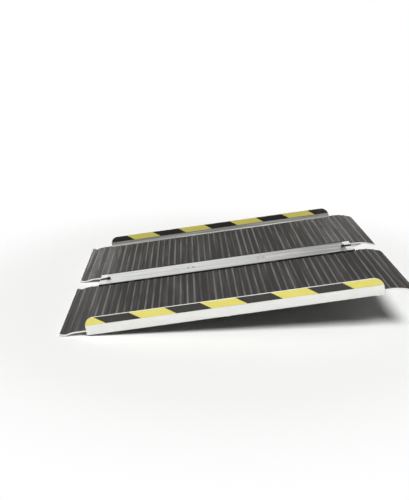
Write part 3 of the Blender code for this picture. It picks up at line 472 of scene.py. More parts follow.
BACK_GREY = (0.075, 0.075, 0.073, 1)
BACK_STRAND = (0.135, 0.134, 0.130, 1)
BACK_DUST = (0.20, 0.19, 0.17, 1)
STRAND_SCALES = ((40.0, 700.0, 300.0), (700.0, 60.0, 300.0), (420.0, 300.0, 60.0))
STRAND_RELIEF = 0.00018
FOAM_CREAM = (0.72, 0.64, 0.45, 1)
FOAM_CELL_SHADE = (0.42, 0.35, 0.22, 1)
FOAM_RELIEF = 0.0004
SKIN_EASE = 0.0003


def cells(place, scale, output="Distance", **values):
    """Cells of 1/scale of a metre: how far each point is from its cell's middle, or the cell's own colour."""
    inputs = {"Vector": place, "Scale": scale, **values}
    return add(place.id_data, "ShaderNodeTexVoronoi", inputs).outputs[output]


def back_coat_finish():
    """Brushed grey paint over chopped strands: duller than the gel coat, with fibres standing in relief."""
    made, paint, place = new_finish("back_coat", Roughness=0.5)
    grey = effect(TONE_DRIFT, place, Color=BACK_GREY, Scale=11.0, Depth=0.55)
    crease_mask = effect(CREASE_DUST_AND_SHADE, place, Reach=0.02, Amount=0.4)
    scuffs = effect(HAIR_SCRATCHES, place, Stretch=(12.0, 45.0, 45.0), Amount=0.55)
    strands = 0.0
    for scales in STRAND_SCALES:
        ridge = ramped(off_middle(streaks(place, scales, Detail=1.0)), 0.05, 0.0)
        strands = worked("MAXIMUM", strands, ridge)
    color = mixed(worked("MULTIPLY", strands, 0.35), grey, BACK_STRAND)
    color = mixed(worked("MAXIMUM", crease_mask, scuffs), color, BACK_DUST)
    rough = worked("MULTIPLY_ADD", strands, -0.12, 0.52)
    feed(paint, {"Base Color": color, "Roughness": rough, "Normal": bumped(strands, STRAND_RELIEF)})
    return made


def foam_finish():
    """Cream structural foam with its cut cells open."""
    made, paint, place = new_finish("core_foam", Roughness=0.85)
    foam = cells(place, 900.0)
    cream = effect(TONE_DRIFT, place, Color=FOAM_CREAM, Scale=20.0, Depth=0.15)
    color = mixed(ramped(foam, 0.5, 0.1, 0.0, 0.35), cream, FOAM_CELL_SHADE)
    feed(paint, {"Base Color": color, "Normal": bumped(foam, FOAM_RELIEF)})
    return made


BACK_COAT = back_coat_finish()
CORE_FOAM = foam_finish()
for word in SIDES:
    eased_piece(f"{word}_under_skin", BACK_COAT, SKIN_EASE)
    core = frame["nodes"][f"{word}_core"]
    core.data.materials.clear()
    core.data.materials.append(CORE_FOAM)

# The anti-slip covering: a black sheet pressed with low cross ribs and bonded on the walking surface over the
# whole of both lips, cut round the hinge leaf and the kerb. Hard grit is rolled into the resin all over.

DECK_LENGTH = 0.952
DECK_HALF_THICKNESS = 0.002
NOSE_RADIUS = 0.025
NOSE_TIP_ANGLE = math.radians(38)
NOSE_RAMP_ANGLE = math.radians(14)
NOSE_RAMP_LENGTH = 0.006
NOSE_BEND_RADIUS = 0.060
LIP_RADIUS = 0.152
LIP_ANGLE = math.radians(26)
LINE_STEP = 0.0012
LEAF_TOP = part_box("far_hinge_leaf")[1].z
STRIP_RISE = 0.005
SEAT_GAP = 0.0003

COVER_THICKNESS = 0.0009
COVER_ROWS = 2200
COVER_MERGE = 0.000001
RIB_PITCH = 0.020
RIB_HEIGHT = 0.0013
RIB_BASE = 0.0066
RIB_TOP = 0.0022
LEAF_CUT = 0.0451
HINGE_CUT_START = 0.066
HINGE_CUT_END = 0.874
KERB_CUT_START = 0.0717
KERB_CUT_END = 0.8723
FILLET_CUT = 0.3701

GRIT_BLACK = (0.034, 0.032, 0.030, 1)
GRIT_TOP = (0.250, 0.242, 0.232, 1)
GRIT_DUST = (0.21, 0.20, 0.19, 1)
GRIT_RELIEF = 0.00035
# Pale streaks on the covering: a dusting at both lower ends, and painted sheen on the far half, over the
# dusting at its lower end and alone at its upper end.
PALE_DUST_AND_SHEEN = (0.33, 0.32, 0.308, 1)
PALE_IN_VALLEYS = 0.55
PALE_BETWEEN_STREAKS = 0.35
NOSE_PALE_FROM = -0.30
NOSE_PALE_TO = -0.44
NOSE_PALE_NEAR = 0.35
NOSE_DUST_AND_SHEEN_FAR = 0.95
LIP_PALE_FROM = 0.20
LIP_PALE_TO = 0.36
LIP_PAINTED_SHEEN_FAR = 0.5


def deck_line():
    """Points along the middle of the deck sheet, from the lower tip over the flat to the upper lip's edge.

    Also gives where the flat begins: its u, its height and its distance along the line.
    """
    nose_reach = NOSE_RADIUS * (math.sin(NOSE_TIP_ANGLE) + math.sin(NOSE_RAMP_ANGLE))
    ramp_reach = NOSE_RAMP_LENGTH * math.cos(NOSE_RAMP_ANGLE) + NOSE_BEND_RADIUS * math.sin(NOSE_RAMP_ANGLE)
    flat = DECK_LENGTH - nose_reach - ramp_reach - LIP_RADIUS * math.sin(LIP_ANGLE)
    stretches = (
        ((NOSE_TIP_ANGLE + NOSE_RAMP_ANGLE) * NOSE_RADIUS, 1 / NOSE_RADIUS),
        (NOSE_RAMP_LENGTH, 0.0),
        (NOSE_RAMP_ANGLE * NOSE_BEND_RADIUS, -1 / NOSE_BEND_RADIUS),
        (flat, 0.0),
        (LIP_ANGLE * LIP_RADIUS, -1 / LIP_RADIUS),
    )
    points = [Vector((0, 0, 0))]
    heading = -NOSE_TIP_ANGLE
    for length, bend in stretches:
        if length == flat:
            flat_start = points[-1]
        steps = math.ceil(length / LINE_STEP)
        for _ in range(steps):
            middle = heading + bend * length / steps / 2
            points.append(points[-1] + length / steps * Vector((math.cos(middle), 0, math.sin(middle))))
            heading += bend * length / steps
    return points, flat_start, sum(length for length, _ in stretches[:3])


LINE, FLAT_START, FLAT_ALONG = deck_line()
LINE_LENGTH = sum((b - a).length for a, b in zip(LINE, LINE[1:]))
RIB_COUNT = int((LINE_LENGTH - 2 * SEAT_GAP - RIB_BASE) / RIB_PITCH)


def seated_line():
    """The deck line in the ramp's frame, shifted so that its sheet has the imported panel's ends and top."""
    tip = LINE[0] - DECK_HALF_THICKNESS * Vector((math.sin(NOSE_TIP_ANGLE), 0, math.cos(NOSE_TIP_ANGLE)))
    flat = LEAF_TOP - STRIP_RISE - COVER_THICKNESS - SEAT_GAP - DECK_HALF_THICKNESS
    shift = Vector((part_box("far_panel")[0].x - tip.x, 0, flat - FLAT_START.z))
    return [point + shift for point in LINE]


def start_mesh(name, points, joined=False):
    """The points that a geometry tree starts from, loose or joined into a line."""
    mesh = bpy.data.meshes.new(name)
    mesh.from_pydata(points, [(i, i + 1) for i in range(len(points) - 1)] if joined else [], [])
    return mesh


def new_geometry_tree(name, sizes):
    """An empty geometry tree that takes a geometry, named sizes and a finish, and gives a geometry."""
    tree = bpy.data.node_groups.new(name, "GeometryNodeTree")
    kinds = {"Geometry": "NodeSocketGeometry", **sizes, "Finish": "NodeSocketMaterial"}
    for label, kind in kinds.items():
        tree.interface.new_socket(label, in_out="INPUT", socket_type=kind)
    tree.interface.new_socket("Geometry", in_out="OUTPUT", socket_type="NodeSocketGeometry")
    return tree, add(tree, "NodeGroupInput").outputs, add(tree, "NodeGroupOutput")


def end_tree(tree, given, result, shape):
    """Every tree ends the same way: real faces, and the finish set on them."""
    real = add(tree, "GeometryNodeRealizeInstances", {"Geometry": shape}).outputs[0]
    dressed = add(tree, "GeometryNodeSetMaterial", {"Geometry": real, "Material": given["Finish"]}).outputs[0]
    feed(result, {0: dressed})


def made_by(tree, name, start, sizes):
    """A plain mesh object, made by running the tree on a start mesh with these sizes."""
    piece = placed(name, start)
    modifier = piece.modifiers.new("shape", "NODES")
    modifier.node_group = tree
    for socket in tree.interface.items_tree:
        if socket.in_out == "INPUT" and socket.name in sizes:
            modifier[socket.identifier] = sizes[socket.name]
    graph = bpy.context.evaluated_depsgraph_get()
    mesh = bpy.data.meshes.new_from_object(piece.evaluated_get(graph))
    piece.modifiers.clear()
    piece.data = shaded(mesh)
    mesh.name = name
    return piece


def noted(shape, name, kind, value):
    """The shape, with a value noted at each of its points under a name."""
    made = add(shape.id_data, "GeometryNodeStoreNamedAttribute", data_type=kind, domain="POINT")
    feed(made, {"Geometry": shape, "Name": name, "Value": value})
    return made.outputs[0]


def covering_tree():
    """A closed ribbed sheet that follows a line of edges, cut back along the hinge and along the kerb.

    It starts as a flat grid round 0, 1 long and 3 wide, with one band between each two of the inner, leaf,
    kerb and outer edges. A rib is highest where the distance to the nearest whole turn of the pitch is 0.
    """
    edges = ("Inner Edge", "Leaf Edge", "Kerb Edge", "Outer Edge")
    lengths = ("Lift", "Thickness", "End Margin", "Rib Pitch", "Rib Height", "Rib Base", "Rib Top")
    lengths += ("First Rib", *edges, "Hinge Start", "Hinge End", "Kerb Start", "Kerb End")
    sizes = dict.fromkeys(lengths, "NodeSocketFloat")
    tree, given, result = new_geometry_tree("ribbed_covering", {**sizes, "Rows": "NodeSocketInt"})
    line = add(tree, "GeometryNodeMeshToCurve", {"Mesh": given["Geometry"]}).outputs[0]
    length = add(tree, "GeometryNodeCurveLength", {"Curve": line}).outputs[0]
    spans = {"Size X": 1.0, "Size Y": 3.0, "Vertices X": given["Rows"], "Vertices Y": 4}
    grid = add(tree, "GeometryNodeMeshGrid", spans).outputs[0]
    spot = coordinates(add(tree, "GeometryNodeInputPosition").outputs[0])
    share = worked("ADD", spot["X"], 0.5)
    room = worked("SUBTRACT", length, worked("MULTIPLY", given["End Margin"], 2.0))
    along = worked("MULTIPLY_ADD", share, room, given["End Margin"])
    band = worked("ADD", spot["Y"], 1.5)
    across = given["Inner Edge"]
    for number, (before, after) in enumerate(zip(edges, edges[1:])):
        step = worked("SUBTRACT", band, float(number), clamped=True)
        wide = worked("SUBTRACT", given[after], given[before])
        across = worked("MULTIPLY_ADD", step, wide, across)
    cuts = []
    for edge, test, limit in (("Hinge", "LESS_THAN", 1.0), ("Kerb", "GREATER_THAN", 2.0)):
        past = worked("GREATER_THAN", along, given[f"{edge} Start"])
        short = worked("LESS_THAN", along, given[f"{edge} End"])
        cuts.append(product(past, short, worked(test, band, limit)))
    chosen = worked("GREATER_THAN", worked("MAXIMUM", *cuts), 0.5)
    chosen = {"Geometry": grid, "Selection": chosen}
    sheet = add(tree, "GeometryNodeDeleteGeometry", chosen, domain="FACE", mode="ALL").outputs[0]
    here = {"Curves": line, "Length": along}
    here = add(tree, "GeometryNodeSampleCurve", here, mode="LENGTH", use_all_curves=True).outputs
    square = on_vectors("CROSS_PRODUCT", here["Tangent"], (0.0, 1.0, 0.0))
    turn = worked("DIVIDE", worked("SUBTRACT", along, given["First Rib"]), given["Rib Pitch"])
    off = worked("ABSOLUTE", worked("SUBTRACT", turn, worked("ROUND", turn)))
    distance = worked("MULTIPLY", off, given["Rib Pitch"])
    half_base = worked("MULTIPLY", given["Rib Base"], 0.5)
    half_top = worked("MULTIPLY", given["Rib Top"], 0.5)
    rib = ramped(distance, half_base, half_top)
    sideways = add(tree, "ShaderNodeCombineXYZ", {"Y": across}).outputs[0]
    base = on_vectors("ADD", here["Position"], sideways)
    top_lift = worked("ADD", given["Lift"], given["Thickness"])
    top_lift = worked("MULTIPLY_ADD", rib, given["Rib Height"], top_lift)
    low_place = on_vectors("ADD", base, scaled(square, given["Lift"]))
    top_place = on_vectors("ADD", base, scaled(square, top_lift))
    sheet = noted(sheet, "top_place", "FLOAT_VECTOR", top_place)
    sheet = noted(sheet, "rib", "FLOAT", rib)
    low = add(tree, "GeometryNodeSetPosition", {"Geometry": sheet, "Position": low_place}).outputs[0]
    drawn = {"Mesh": low, "Offset Scale": 0.0, "Individual": False}
    drawn = add(tree, "GeometryNodeExtrudeMesh", drawn, mode="FACES").outputs
    recalled = {"Name": "top_place"}
    recalled = add(tree, "GeometryNodeInputNamedAttribute", recalled, data_type="FLOAT_VECTOR").outputs
    top_place = recalled[live(recalled)["Attribute"]]
    moved = {"Geometry": drawn["Mesh"], "Selection": drawn["Top"], "Position": top_place}
    high = add(tree, "GeometryNodeSetPosition", moved).outputs[0]
    both = add(tree, "GeometryNodeJoinGeometry")
    feed(both, {0: high})
    feed(both, {0: add(tree, "GeometryNodeFlipFaces", {"Mesh": low}).outputs[0]})
    closed = {"Geometry": both.outputs[0], "Distance": COVER_MERGE}
    closed = add(tree, "GeometryNodeMergeByDistance", closed).outputs[0]
    clean = add(tree, "GeometryNodeRemoveAttribute", {"Geometry": closed, "Name": "top_place"}).outputs[0]
    end_tree(tree, given, result, clean)
    return tree


def grit_finish():
    """Black resin with rolled-in grit: every grain stands proud, and the rib tops are paler, from wear and
    from painted highlight.

    Dust lies pale in streaks at the lower ends; the far half's extra paleness there, and all of it at its
    upper end, is painted sheen.
    """
    made, paint, place = new_finish("grit_covering", Roughness=0.85, Specular_IOR_Level=0.28)
    rib = add(made.node_tree, "ShaderNodeAttribute", attribute_name="rib").outputs["Fac"]
    crown = ramped(rib, 0.0, 0.6)
    uneven = streaks(place, (46.0, 2.2, 46.0), Detail=3.0, Roughness=0.7)
    # Rib crowns paler: part wear, part painted highlight, brighter on some ribs than on others.
    crown_wear_and_highlight = product(
        crown,
        ramped(noise(place, 9.0, Detail=5.0, Roughness=0.65), 0.25, 0.75, 0.7, 1.0),
        ramped(uneven, 0.36, 0.62, 0.10, 1.0),
    )
    swept = streaks(place, (95.0, 3.0, 95.0), Detail=4.0, Roughness=0.6)
    spot = coordinates(place)
    nose_dust_and_sheen = ramped(spot["Y"], 0.0, LEAF_CUT, NOSE_PALE_NEAR, NOSE_DUST_AND_SHEEN_FAR)
    lip_painted_sheen = ramped(spot["Y"], 0.0, LEAF_CUT, 0.0, LIP_PAINTED_SHEEN_FAR)
    nose_dust_and_sheen = ramped(spot["X"], NOSE_PALE_FROM, NOSE_PALE_TO, 0.0, nose_dust_and_sheen)
    lip_painted_sheen = ramped(spot["X"], LIP_PALE_FROM, LIP_PALE_TO, 0.0, lip_painted_sheen)
    # Dusting at the lower ends, with painted sheen added on the far half.
    pale = product(
        worked("MAXIMUM", nose_dust_and_sheen, lip_painted_sheen),
        ramped(uneven, 0.38, 0.62, PALE_BETWEEN_STREAKS, 1.0),
        ramped(crown, 0.0, 1.0, PALE_IN_VALLEYS, 1.0),
    )
    black = effect(TONE_DRIFT, place, Color=GRIT_BLACK, Scale=5.0, Depth=0.3)
    color = mixed(crown_wear_and_highlight, black, GRIT_TOP)
    color = mixed(ramped(swept, 0.42, 0.72, 0.0, 0.28), color, GRIT_DUST)
    color = mixed(pale, color, PALE_DUST_AND_SHEEN)
    crease_mask = effect(CREASE_DUST_AND_SHADE, place, Reach=0.01, Amount=0.35)
    color = mixed(crease_mask, color, GRIT_DUST)
    grains = cells(place, 1150.0, Randomness=1.0)
    glint = ramped(grains, 0.45, 0.12, 0.78, 1.25)
    color = scaled(color, glint)
    fine = noise(place, 2600.0, Detail=3.0, Roughness=0.7)
    height = worked("MULTIPLY_ADD", fine, 0.5, worked("SUBTRACT", 1.0, grains))
    feed(paint, {"Base Color": color, "Normal": bumped(height, GRIT_RELIEF)})
    return made


def mirror_across(mesh):
    """Turns a far piece's mesh into the near one, with its faces still outwards."""
    mesh.transform(Matrix.Scale(-1, 4, (0, 1, 0)))
    mesh.flip_normals()


DECK_LINE = seated_line()
COVERING = covering_tree()
COVER_SIZES = {
    "Lift": DECK_HALF_THICKNESS + SEAT_GAP,
    "Thickness": COVER_THICKNESS,
    "End Margin": SEAT_GAP,
    "Rib Pitch": RIB_PITCH,
    "Rib Height": RIB_HEIGHT,
    "Rib Base": RIB_BASE,
    "Rib Top": RIB_TOP,
    "First Rib": (LINE_LENGTH - RIB_COUNT * RIB_PITCH) / 2,
    "Inner Edge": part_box("far_grip_sheet")[0].y,
    "Leaf Edge": LEAF_CUT,
    "Kerb Edge": FILLET_CUT,
    "Outer Edge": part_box("far_grip_sheet")[1].y,
    "Hinge Start": HINGE_CUT_START + FLAT_ALONG - FLAT_START.x,
    "Hinge End": HINGE_CUT_END + FLAT_ALONG - FLAT_START.x,
    "Kerb Start": KERB_CUT_START + FLAT_ALONG - FLAT_START.x,
    "Kerb End": KERB_CUT_END + FLAT_ALONG - FLAT_START.x,
    "Rows": COVER_ROWS,
    "Finish": grit_finish(),
}
for word, side in SIDES.items():
    cover = made_by(COVERING, f"{word}_covering", start_mesh("line", DECK_LINE, joined=True), COVER_SIZES)
    if side < 0:
        mirror_across(cover.data)
    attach(cover, f"{word}_half")
    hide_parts(f"{word}_grip_sheet")

# Hazard tape: yellow and black blocks with slanted ends, printed on a vinyl film and stuck on both faces of
# the kerb, a little inside its edge. The inner strip is narrower and starts with black. Dirt sticks to the
# strips' own edges.

TAPE_BLOCK = 0.0947
TAPE_LEAN = 1.45
OUTER_FIRST_EDGE = 0.0976
INNER_FIRST_EDGE = 0.0366
OUTER_TAPE_WIDTH = 0.0208
INNER_TAPE_WIDTH = 0.0184
KERB_RISE = 0.0335
TAPE_YELLOW = (0.75, 0.68, 0.148, 1)
TAPE_BLACK = (0.020, 0.0175, 0.0145, 1)
TAPE_DIRT = (0.30, 0.28, 0.21, 1)
BEAD_RELIEF = 0.00004


def hazard_tape_finish(name, first_edge):
    """Blocks that start at their place on the kerb's top and lean back by TAPE_LEAN, with pearly beads."""
    made, paint, place = new_finish(name, Roughness=0.4, Coat_Weight=0.08, Coat_Roughness=0.2)
    spot = coordinates(place)
    kerb_top = LEAF_TOP - STRIP_RISE + KERB_RISE
    start = DECK_LINE[0].x + first_edge + TAPE_LEAN * kerb_top
    slant = worked("SUBTRACT", worked("MULTIPLY_ADD", spot["Z"], TAPE_LEAN, spot["X"]), start)
    turn = worked("FRACT", worked("DIVIDE", slant, 2 * TAPE_BLOCK))
    yellow = effect(TONE_DRIFT, place, Color=TAPE_YELLOW, Scale=14.0, Depth=0.1)
    black = effect(TONE_DRIFT, place, Color=TAPE_BLACK, Scale=22.0, Depth=0.5)
    scratches = effect(HAIR_SCRATCHES, place, Stretch=(14.0, 200.0, 260.0), Amount=0.8)
    rubbed = effect(EDGE_WEAR, place, Width=0.0010, Break_Up=220.0, Amount=0.6)
    color = mixed(worked("LESS_THAN", turn, 0.5), yellow, black)
    color = mixed(worked("MULTIPLY", scratches, 0.3), color, TAPE_DIRT)
    color = mixed(rubbed, color, TAPE_DIRT)
    rough = worked("MULTIPLY_ADD", scratches, 0.25, 0.38)
    height = worked("SUBTRACT", cells(place, 2200.0), scratches)
    feed(paint, {"Base Color": color, "Roughness": rough, "Normal": bumped(height, BEAD_RELIEF)})
    return made


def trimmed_tape(node, finish, width):
    """Stands for a packed tape: the same film, cut to its width from the kerb's top down."""
    foot = (0, 0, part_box(node)[1].z - width)
    shape = merged_shape(node)
    everything = shape.verts[:] + shape.edges[:] + shape.faces[:]
    cut = bmesh.ops.bisect_plane(
        shape, geom=everything, dist=MERGE, plane_co=foot, plane_no=(0, 0, -1), clear_outer=True
    )
    rim = [part for part in cut["geom_cut"] if isinstance(part, bmesh.types.BMEdge)]
    bmesh.ops.holes_fill(shape, edges=rim)
    bmesh.ops.recalc_face_normals(shape, faces=shape.faces)
    piece = placed(f"{node}_film", mesh_of(f"{node}_film", shape, finish))
    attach(piece, frame["nodes"][node]["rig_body"])
    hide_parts(node)


OUTER_PRINT = hazard_tape_finish("outer_tape_print", OUTER_FIRST_EDGE)
INNER_PRINT = hazard_tape_finish("inner_tape_print", INNER_FIRST_EDGE)
for word in SIDES:
    trimmed_tape(f"{word}_outer_tape", OUTER_PRINT, OUTER_TAPE_WIDTH)
    trimmed_tape(f"{word}_inner_tape", INNER_PRINT, INNER_TAPE_WIDTH)

# Rubber strips, bonded under the lower nose and under the upper lip, where the ramp bears at its two ends.
# They are extruded, dull, and polished a little where they rub.

ENDS = ("lower", "upper")
RUBBER = (0.034, 0.032, 0.030, 1)
RUBBER_SCUFF = (0.13, 0.125, 0.118, 1)
RUBBER_RELIEF = 0.00012
PAD_EASE = 0.0003


def rubber_finish(name, color, line_scales):
    """Extruded black rubber: fine lines along its length, grey scuffs."""
    made, paint, place = new_finish(name, Roughness=0.7, Specular_IOR_Level=0.2)
    scuffs = ramped(noise(place, 45.0, Detail=6.0), 0.5, 0.72, 0.0, 0.6)
    black = effect(TONE_DRIFT, place, Color=color, Scale=18.0, Depth=0.3)
    color = mixed(scuffs, black, RUBBER_SCUFF)
    rough = worked("MULTIPLY_ADD", scuffs, -0.2, 0.74)
    lines = streaks(place, line_scales)
    feed(paint, {"Base Color": color, "Roughness": rough, "Normal": bumped(lines, RUBBER_RELIEF)})
    return made


PAD_RUBBER = rubber_finish("rubber_strip", RUBBER, (1400.0, 4.0, 1400.0))
for word in SIDES:
    for end in ENDS:
        eased_piece(f"{word}_{end}_pad", PAD_RUBBER, PAD_EASE)

# Hinge leaves: the aluminium edge profile of each half. Its round bulb turns in the centre profile's socket,
# its flange covers the deck's edge, and its web is riveted to the moulding. Sawn from one extruded bar.

SATIN_SILVER = (0.72, 0.73, 0.72, 1)
SILVER_STAIN = (0.50, 0.50, 0.48, 1)
SILVER_BRIGHT = (0.86, 0.86, 0.85, 1)
DIE_LINE_RELIEF = 0.00003
PROFILE_EASE = 0.0002


def satin_aluminium_finish():
    """Natural anodised extrusion: die lines along the bar, cloudy sheen, bright rubbed edges."""
    made, paint, place = new_finish("satin_aluminium", Roughness=0.36, Metallic=1.0)
    lines = streaks(place, (5.0, 1500.0, 1500.0), Detail=3.0, Roughness=0.65)
    bands = streaks(place, (2.0, 160.0, 160.0), Detail=2.0)
    clouds = noise(place, 16.0, Detail=5.0)
    silver = effect(TONE_DRIFT, place, Color=SATIN_SILVER, Scale=9.0, Depth=0.12)
    rubbed = effect(EDGE_WEAR, place, Width=0.0007, Break_Up=160.0, Amount=0.8)
    scratches = effect(HAIR_SCRATCHES, place, Stretch=(26.0, 240.0, 240.0), Amount=0.9)
    bright = worked("MAXIMUM", rubbed, worked("MULTIPLY", scratches, 0.6))
    color = mixed(ramped(clouds, 0.5, 0.78, 0.0, 0.4), silver, SILVER_STAIN)
    color = mixed(ramped(bands, 0.42, 0.68, 0.0, 0.3), color, SILVER_STAIN)
    color = mixed(bright, color, SILVER_BRIGHT)
    rough = ramped(clouds, 0.3, 0.8, 0.33, 0.46)
    rough = worked("SUBTRACT", rough, worked("MULTIPLY", bright, 0.08))
    height = worked("MULTIPLY_ADD", scratches, -0.6, lines)
    feed(paint, {"Base Color": color, "Roughness": rough, "Normal": bumped(height, DIE_LINE_RELIEF)})
    return made


SATIN_ALUMINIUM = satin_aluminium_finish()
for word in SIDES:
    eased_piece(f"{word}_hinge_leaf", SATIN_ALUMINIUM, PROFILE_EASE)

# Edge seals: a soft black rubber extrusion, pressed on to the outer edge of each leaf's flange. Its foot goes
# in under the flange and its thin lip laps over it, so that no grit gets in beside the covering.

SOFT_BLACK = (0.010, 0.009, 0.009, 1)
SEAL_FOOT = 0.0015
SEAL_LIP = 0.0005
SEAL_LIP_REACH = 0.0022
SEAL_LIP_GAP = 0.00005
SEAL_EASE = 0.00018


def seal_shape():
    """The far seal's section, extruded along the strip, with its long edges rounded."""
    low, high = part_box("far_edge_seal")
    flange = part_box("far_hinge_leaf")[1]
    inner = flange.y + SEAT_GAP
    lip_edge = flange.y - SEAL_LIP_REACH
    lip_low = flange.z + SEAL_LIP_GAP
    lip_high = lip_low + SEAL_LIP
    outline = (
        (low.y, low.z),
        (high.y, low.z),
        (high.y, lip_high),
        (lip_edge, lip_high),
        (lip_edge, lip_low),
        (inner, lip_low),
        (inner, low.z + SEAL_FOOT),
        (low.y, low.z + SEAL_FOOT),
    )
    shape = bmesh.new()
    end = shape.faces.new([shape.verts.new((low.x, across, up)) for across, up in outline])
    drawn = bmesh.ops.extrude_face_region(shape, geom=[end], use_keep_orig=True)["geom"]
    moved = [part for part in drawn if isinstance(part, bmesh.types.BMVert)]
    bmesh.ops.translate(shape, verts=moved, vec=(high.x - low.x, 0, 0))
    bmesh.ops.recalc_face_normals(shape, faces=shape.faces)
    long_edges = [edge for edge in shape.edges if edge.calc_length() > high.y]
    bmesh.ops.bevel(shape, geom=long_edges, offset=SEAL_EASE, segments=3, profile=0.5, affect="EDGES")
    return shape


SEAL_RUBBER = rubber_finish("rubber_seal", SOFT_BLACK, (4.0, 1400.0, 1400.0))
for word, side in SIDES.items():
    seal = placed(f"{word}_edge_seal_strip", mesh_of("edge_seal", seal_shape(), SEAL_RUBBER))
    if side < 0:
        mirror_across(seal.data)
    shaded(seal.data)
    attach(seal, f"{word}_half")
    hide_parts(f"{word}_edge_seal")

# Blind rivets hold each leaf's web to the moulding's inner flange, four to a half. The domed head has a small
# round recess where its steel mandrel broke off.

RIVET = {
    "Head Radius": 0.0040,
    "Head Height": 0.0011,
    "Shank Radius": 0.0020,
    "Recess Radius": 0.0011,
    "Recess Depth": 0.0006,
    "Recess Sides": 20,
}
HEAD_SIDES = 40
HEAD_RINGS = 6
HEAD_FALL = 0.88
SHANK_SIDES = 20
SHANK_OVERLAP = 0.0001
OFF_TURN = 0.06


def fastener_tree():
    """A domed head with a shank and a recess of any number of sides, set on every start point.

    Shank and recess are turned a little, so that none of their corners lies on an edge of the head.
    """
    lengths = ("Head Radius", "Head Height", "Shank Radius", "Shank Length", "Recess Radius", "Recess Depth")
    sizes = dict.fromkeys(lengths, "NodeSocketFloat")
    sizes["Recess Sides"] = "NodeSocketInt"
    sizes["Axis"] = "NodeSocketVector"
    tree, given, result = new_geometry_tree("domed_fastener", sizes)

    def bar(radius, length, middle, sides, rings=1, turn=0.0):
        """An upright round bar with its middle at a height."""
        measures = {"Vertices": sides, "Fill Segments": rings, "Radius": radius, "Depth": length}
        lifted = {
            "Geometry": add(tree, "GeometryNodeMeshCylinder", measures).outputs["Mesh"],
            "Translation": add(tree, "ShaderNodeCombineXYZ", {"Z": middle}).outputs[0],
            "Rotation": (0.0, 0.0, turn),
        }
        return add(tree, "GeometryNodeTransform", lifted).outputs[0]

    half = worked("MULTIPLY", given["Head Height"], 0.5)
    head = bar(given["Head Radius"], given["Head Height"], half, HEAD_SIDES, HEAD_RINGS)
    spot = coordinates(add(tree, "GeometryNodeInputPosition").outputs[0])
    flat_spot = add(tree, "ShaderNodeCombineXYZ", {"X": spot["X"], "Y": spot["Y"]}).outputs[0]
    share = worked("DIVIDE", on_vectors("LENGTH", flat_spot), given["Head Radius"])
    left = worked("MULTIPLY_ADD", worked("MULTIPLY", share, share), -HEAD_FALL, 1.0)
    high = worked("MULTIPLY", worked("SQRT", left), given["Head Height"])
    domed_place = add(tree, "ShaderNodeCombineXYZ", {"X": spot["X"], "Y": spot["Y"], "Z": high}).outputs[0]
    upper = worked("GREATER_THAN", spot["Z"], half)
    domed = {"Geometry": head, "Selection": upper, "Position": domed_place}
    down = worked("MULTIPLY_ADD", given["Shank Length"], -0.5, SHANK_OVERLAP)
    shank = bar(given["Shank Radius"], given["Shank Length"], down, SHANK_SIDES, turn=OFF_TURN)
    whole = add(tree, "GeometryNodeMeshBoolean", operation="UNION", solver="EXACT")
    feed(whole, {"Mesh 2": add(tree, "GeometryNodeSetPosition", domed).outputs[0]})
    feed(whole, {"Mesh 2": shank})
    deep = worked("MULTIPLY", given["Recess Depth"], 2.0)
    recess = bar(given["Recess Radius"], deep, given["Head Height"], given["Recess Sides"], turn=OFF_TURN)
    meshes = {"Mesh 1": whole.outputs["Mesh"], "Mesh 2": recess}
    holed = add(tree, "GeometryNodeMeshBoolean", meshes, operation="DIFFERENCE", solver="EXACT")
    turn = add(tree, "FunctionNodeAlignRotationToVector", {"Vector": given["Axis"]}, axis="Z").outputs[0]
    spread = {"Points": given["Geometry"], "Instance": holed.outputs["Mesh"], "Rotation": turn}
    end_tree(tree, given, result, add(tree, "GeometryNodeInstanceOnPoints", spread).outputs[0])
    return tree


FASTENER = fastener_tree()
for word, side in SIDES.items():
    names = [f"{word}_leaf_rivet_{number}" for number in (1, 2, 3, 4)]
    boxes = [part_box(name) for name in names]
    backs = [(low if side > 0 else high).y + side * RIVET["Head Height"] for low, high in boxes]
    spots = [((low.x + high.x) / 2, back, (low.z + high.z) / 2) for (low, high), back in zip(boxes, backs)]
    shank = boxes[0][1].y - boxes[0][0].y - RIVET["Head Height"]
    fitted = {**RIVET, "Shank Length": shank, "Axis": (0, -side, 0), "Finish": SATIN_ALUMINIUM}
    rivets = made_by(FASTENER, f"{word}_leaf_rivets", start_mesh("points", spots), fitted)
    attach(rivets, f"{word}_half")
    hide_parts(*names)

# End plugs and end caps: white mouldings that close the sawn ends of the leaves and of the centre profile.
# Each plug has an eye for the lock's pin, and each cap carries the lock's slot and a tenon in the channel.

CAP_WHITE = (0.80, 0.805, 0.79, 1)
CAP_RUBBED = (0.55, 0.545, 0.52, 1)
CAP_RELIEF = 0.00004
CAP_EASE = 0.0003


def moulded_cap_finish():
    """White injection moulding: a fine spark-eroded grain, flow clouds, slots and corners greyed by painted
    shade, and rubbed edges.
    """
    made, paint, place = new_finish("moulded_cap", Roughness=0.42)
    white = effect(TONE_DRIFT, place, Color=CAP_WHITE, Scale=40.0, Depth=0.06)
    crease_mask = effect(CREASE_DUST_AND_SHADE, place, Reach=0.005, Amount=0.5)
    rubbed = effect(EDGE_WEAR, place, Width=0.0008, Break_Up=260.0, Amount=0.45)
    # Painted shade greys the slots and corners.
    color = mixed(crease_mask, mixed(rubbed, white, CAP_RUBBED), GEL_DUST_AND_SHADE)
    grain = noise(place, 2400.0, Detail=2.0)
    rough = ramped(grain, 0.3, 0.7, 0.38, 0.5)
    feed(paint, {"Base Color": color, "Roughness": rough, "Normal": bumped(grain, CAP_RELIEF)})
    return made


MOULDED_CAP = moulded_cap_finish()
for end in ENDS:
    eased_piece(f"{end}_end_cap", MOULDED_CAP, CAP_EASE)
    for word in SIDES:
        eased_piece(f"{word}_{end}_leaf_plug", MOULDED_CAP, CAP_EASE)

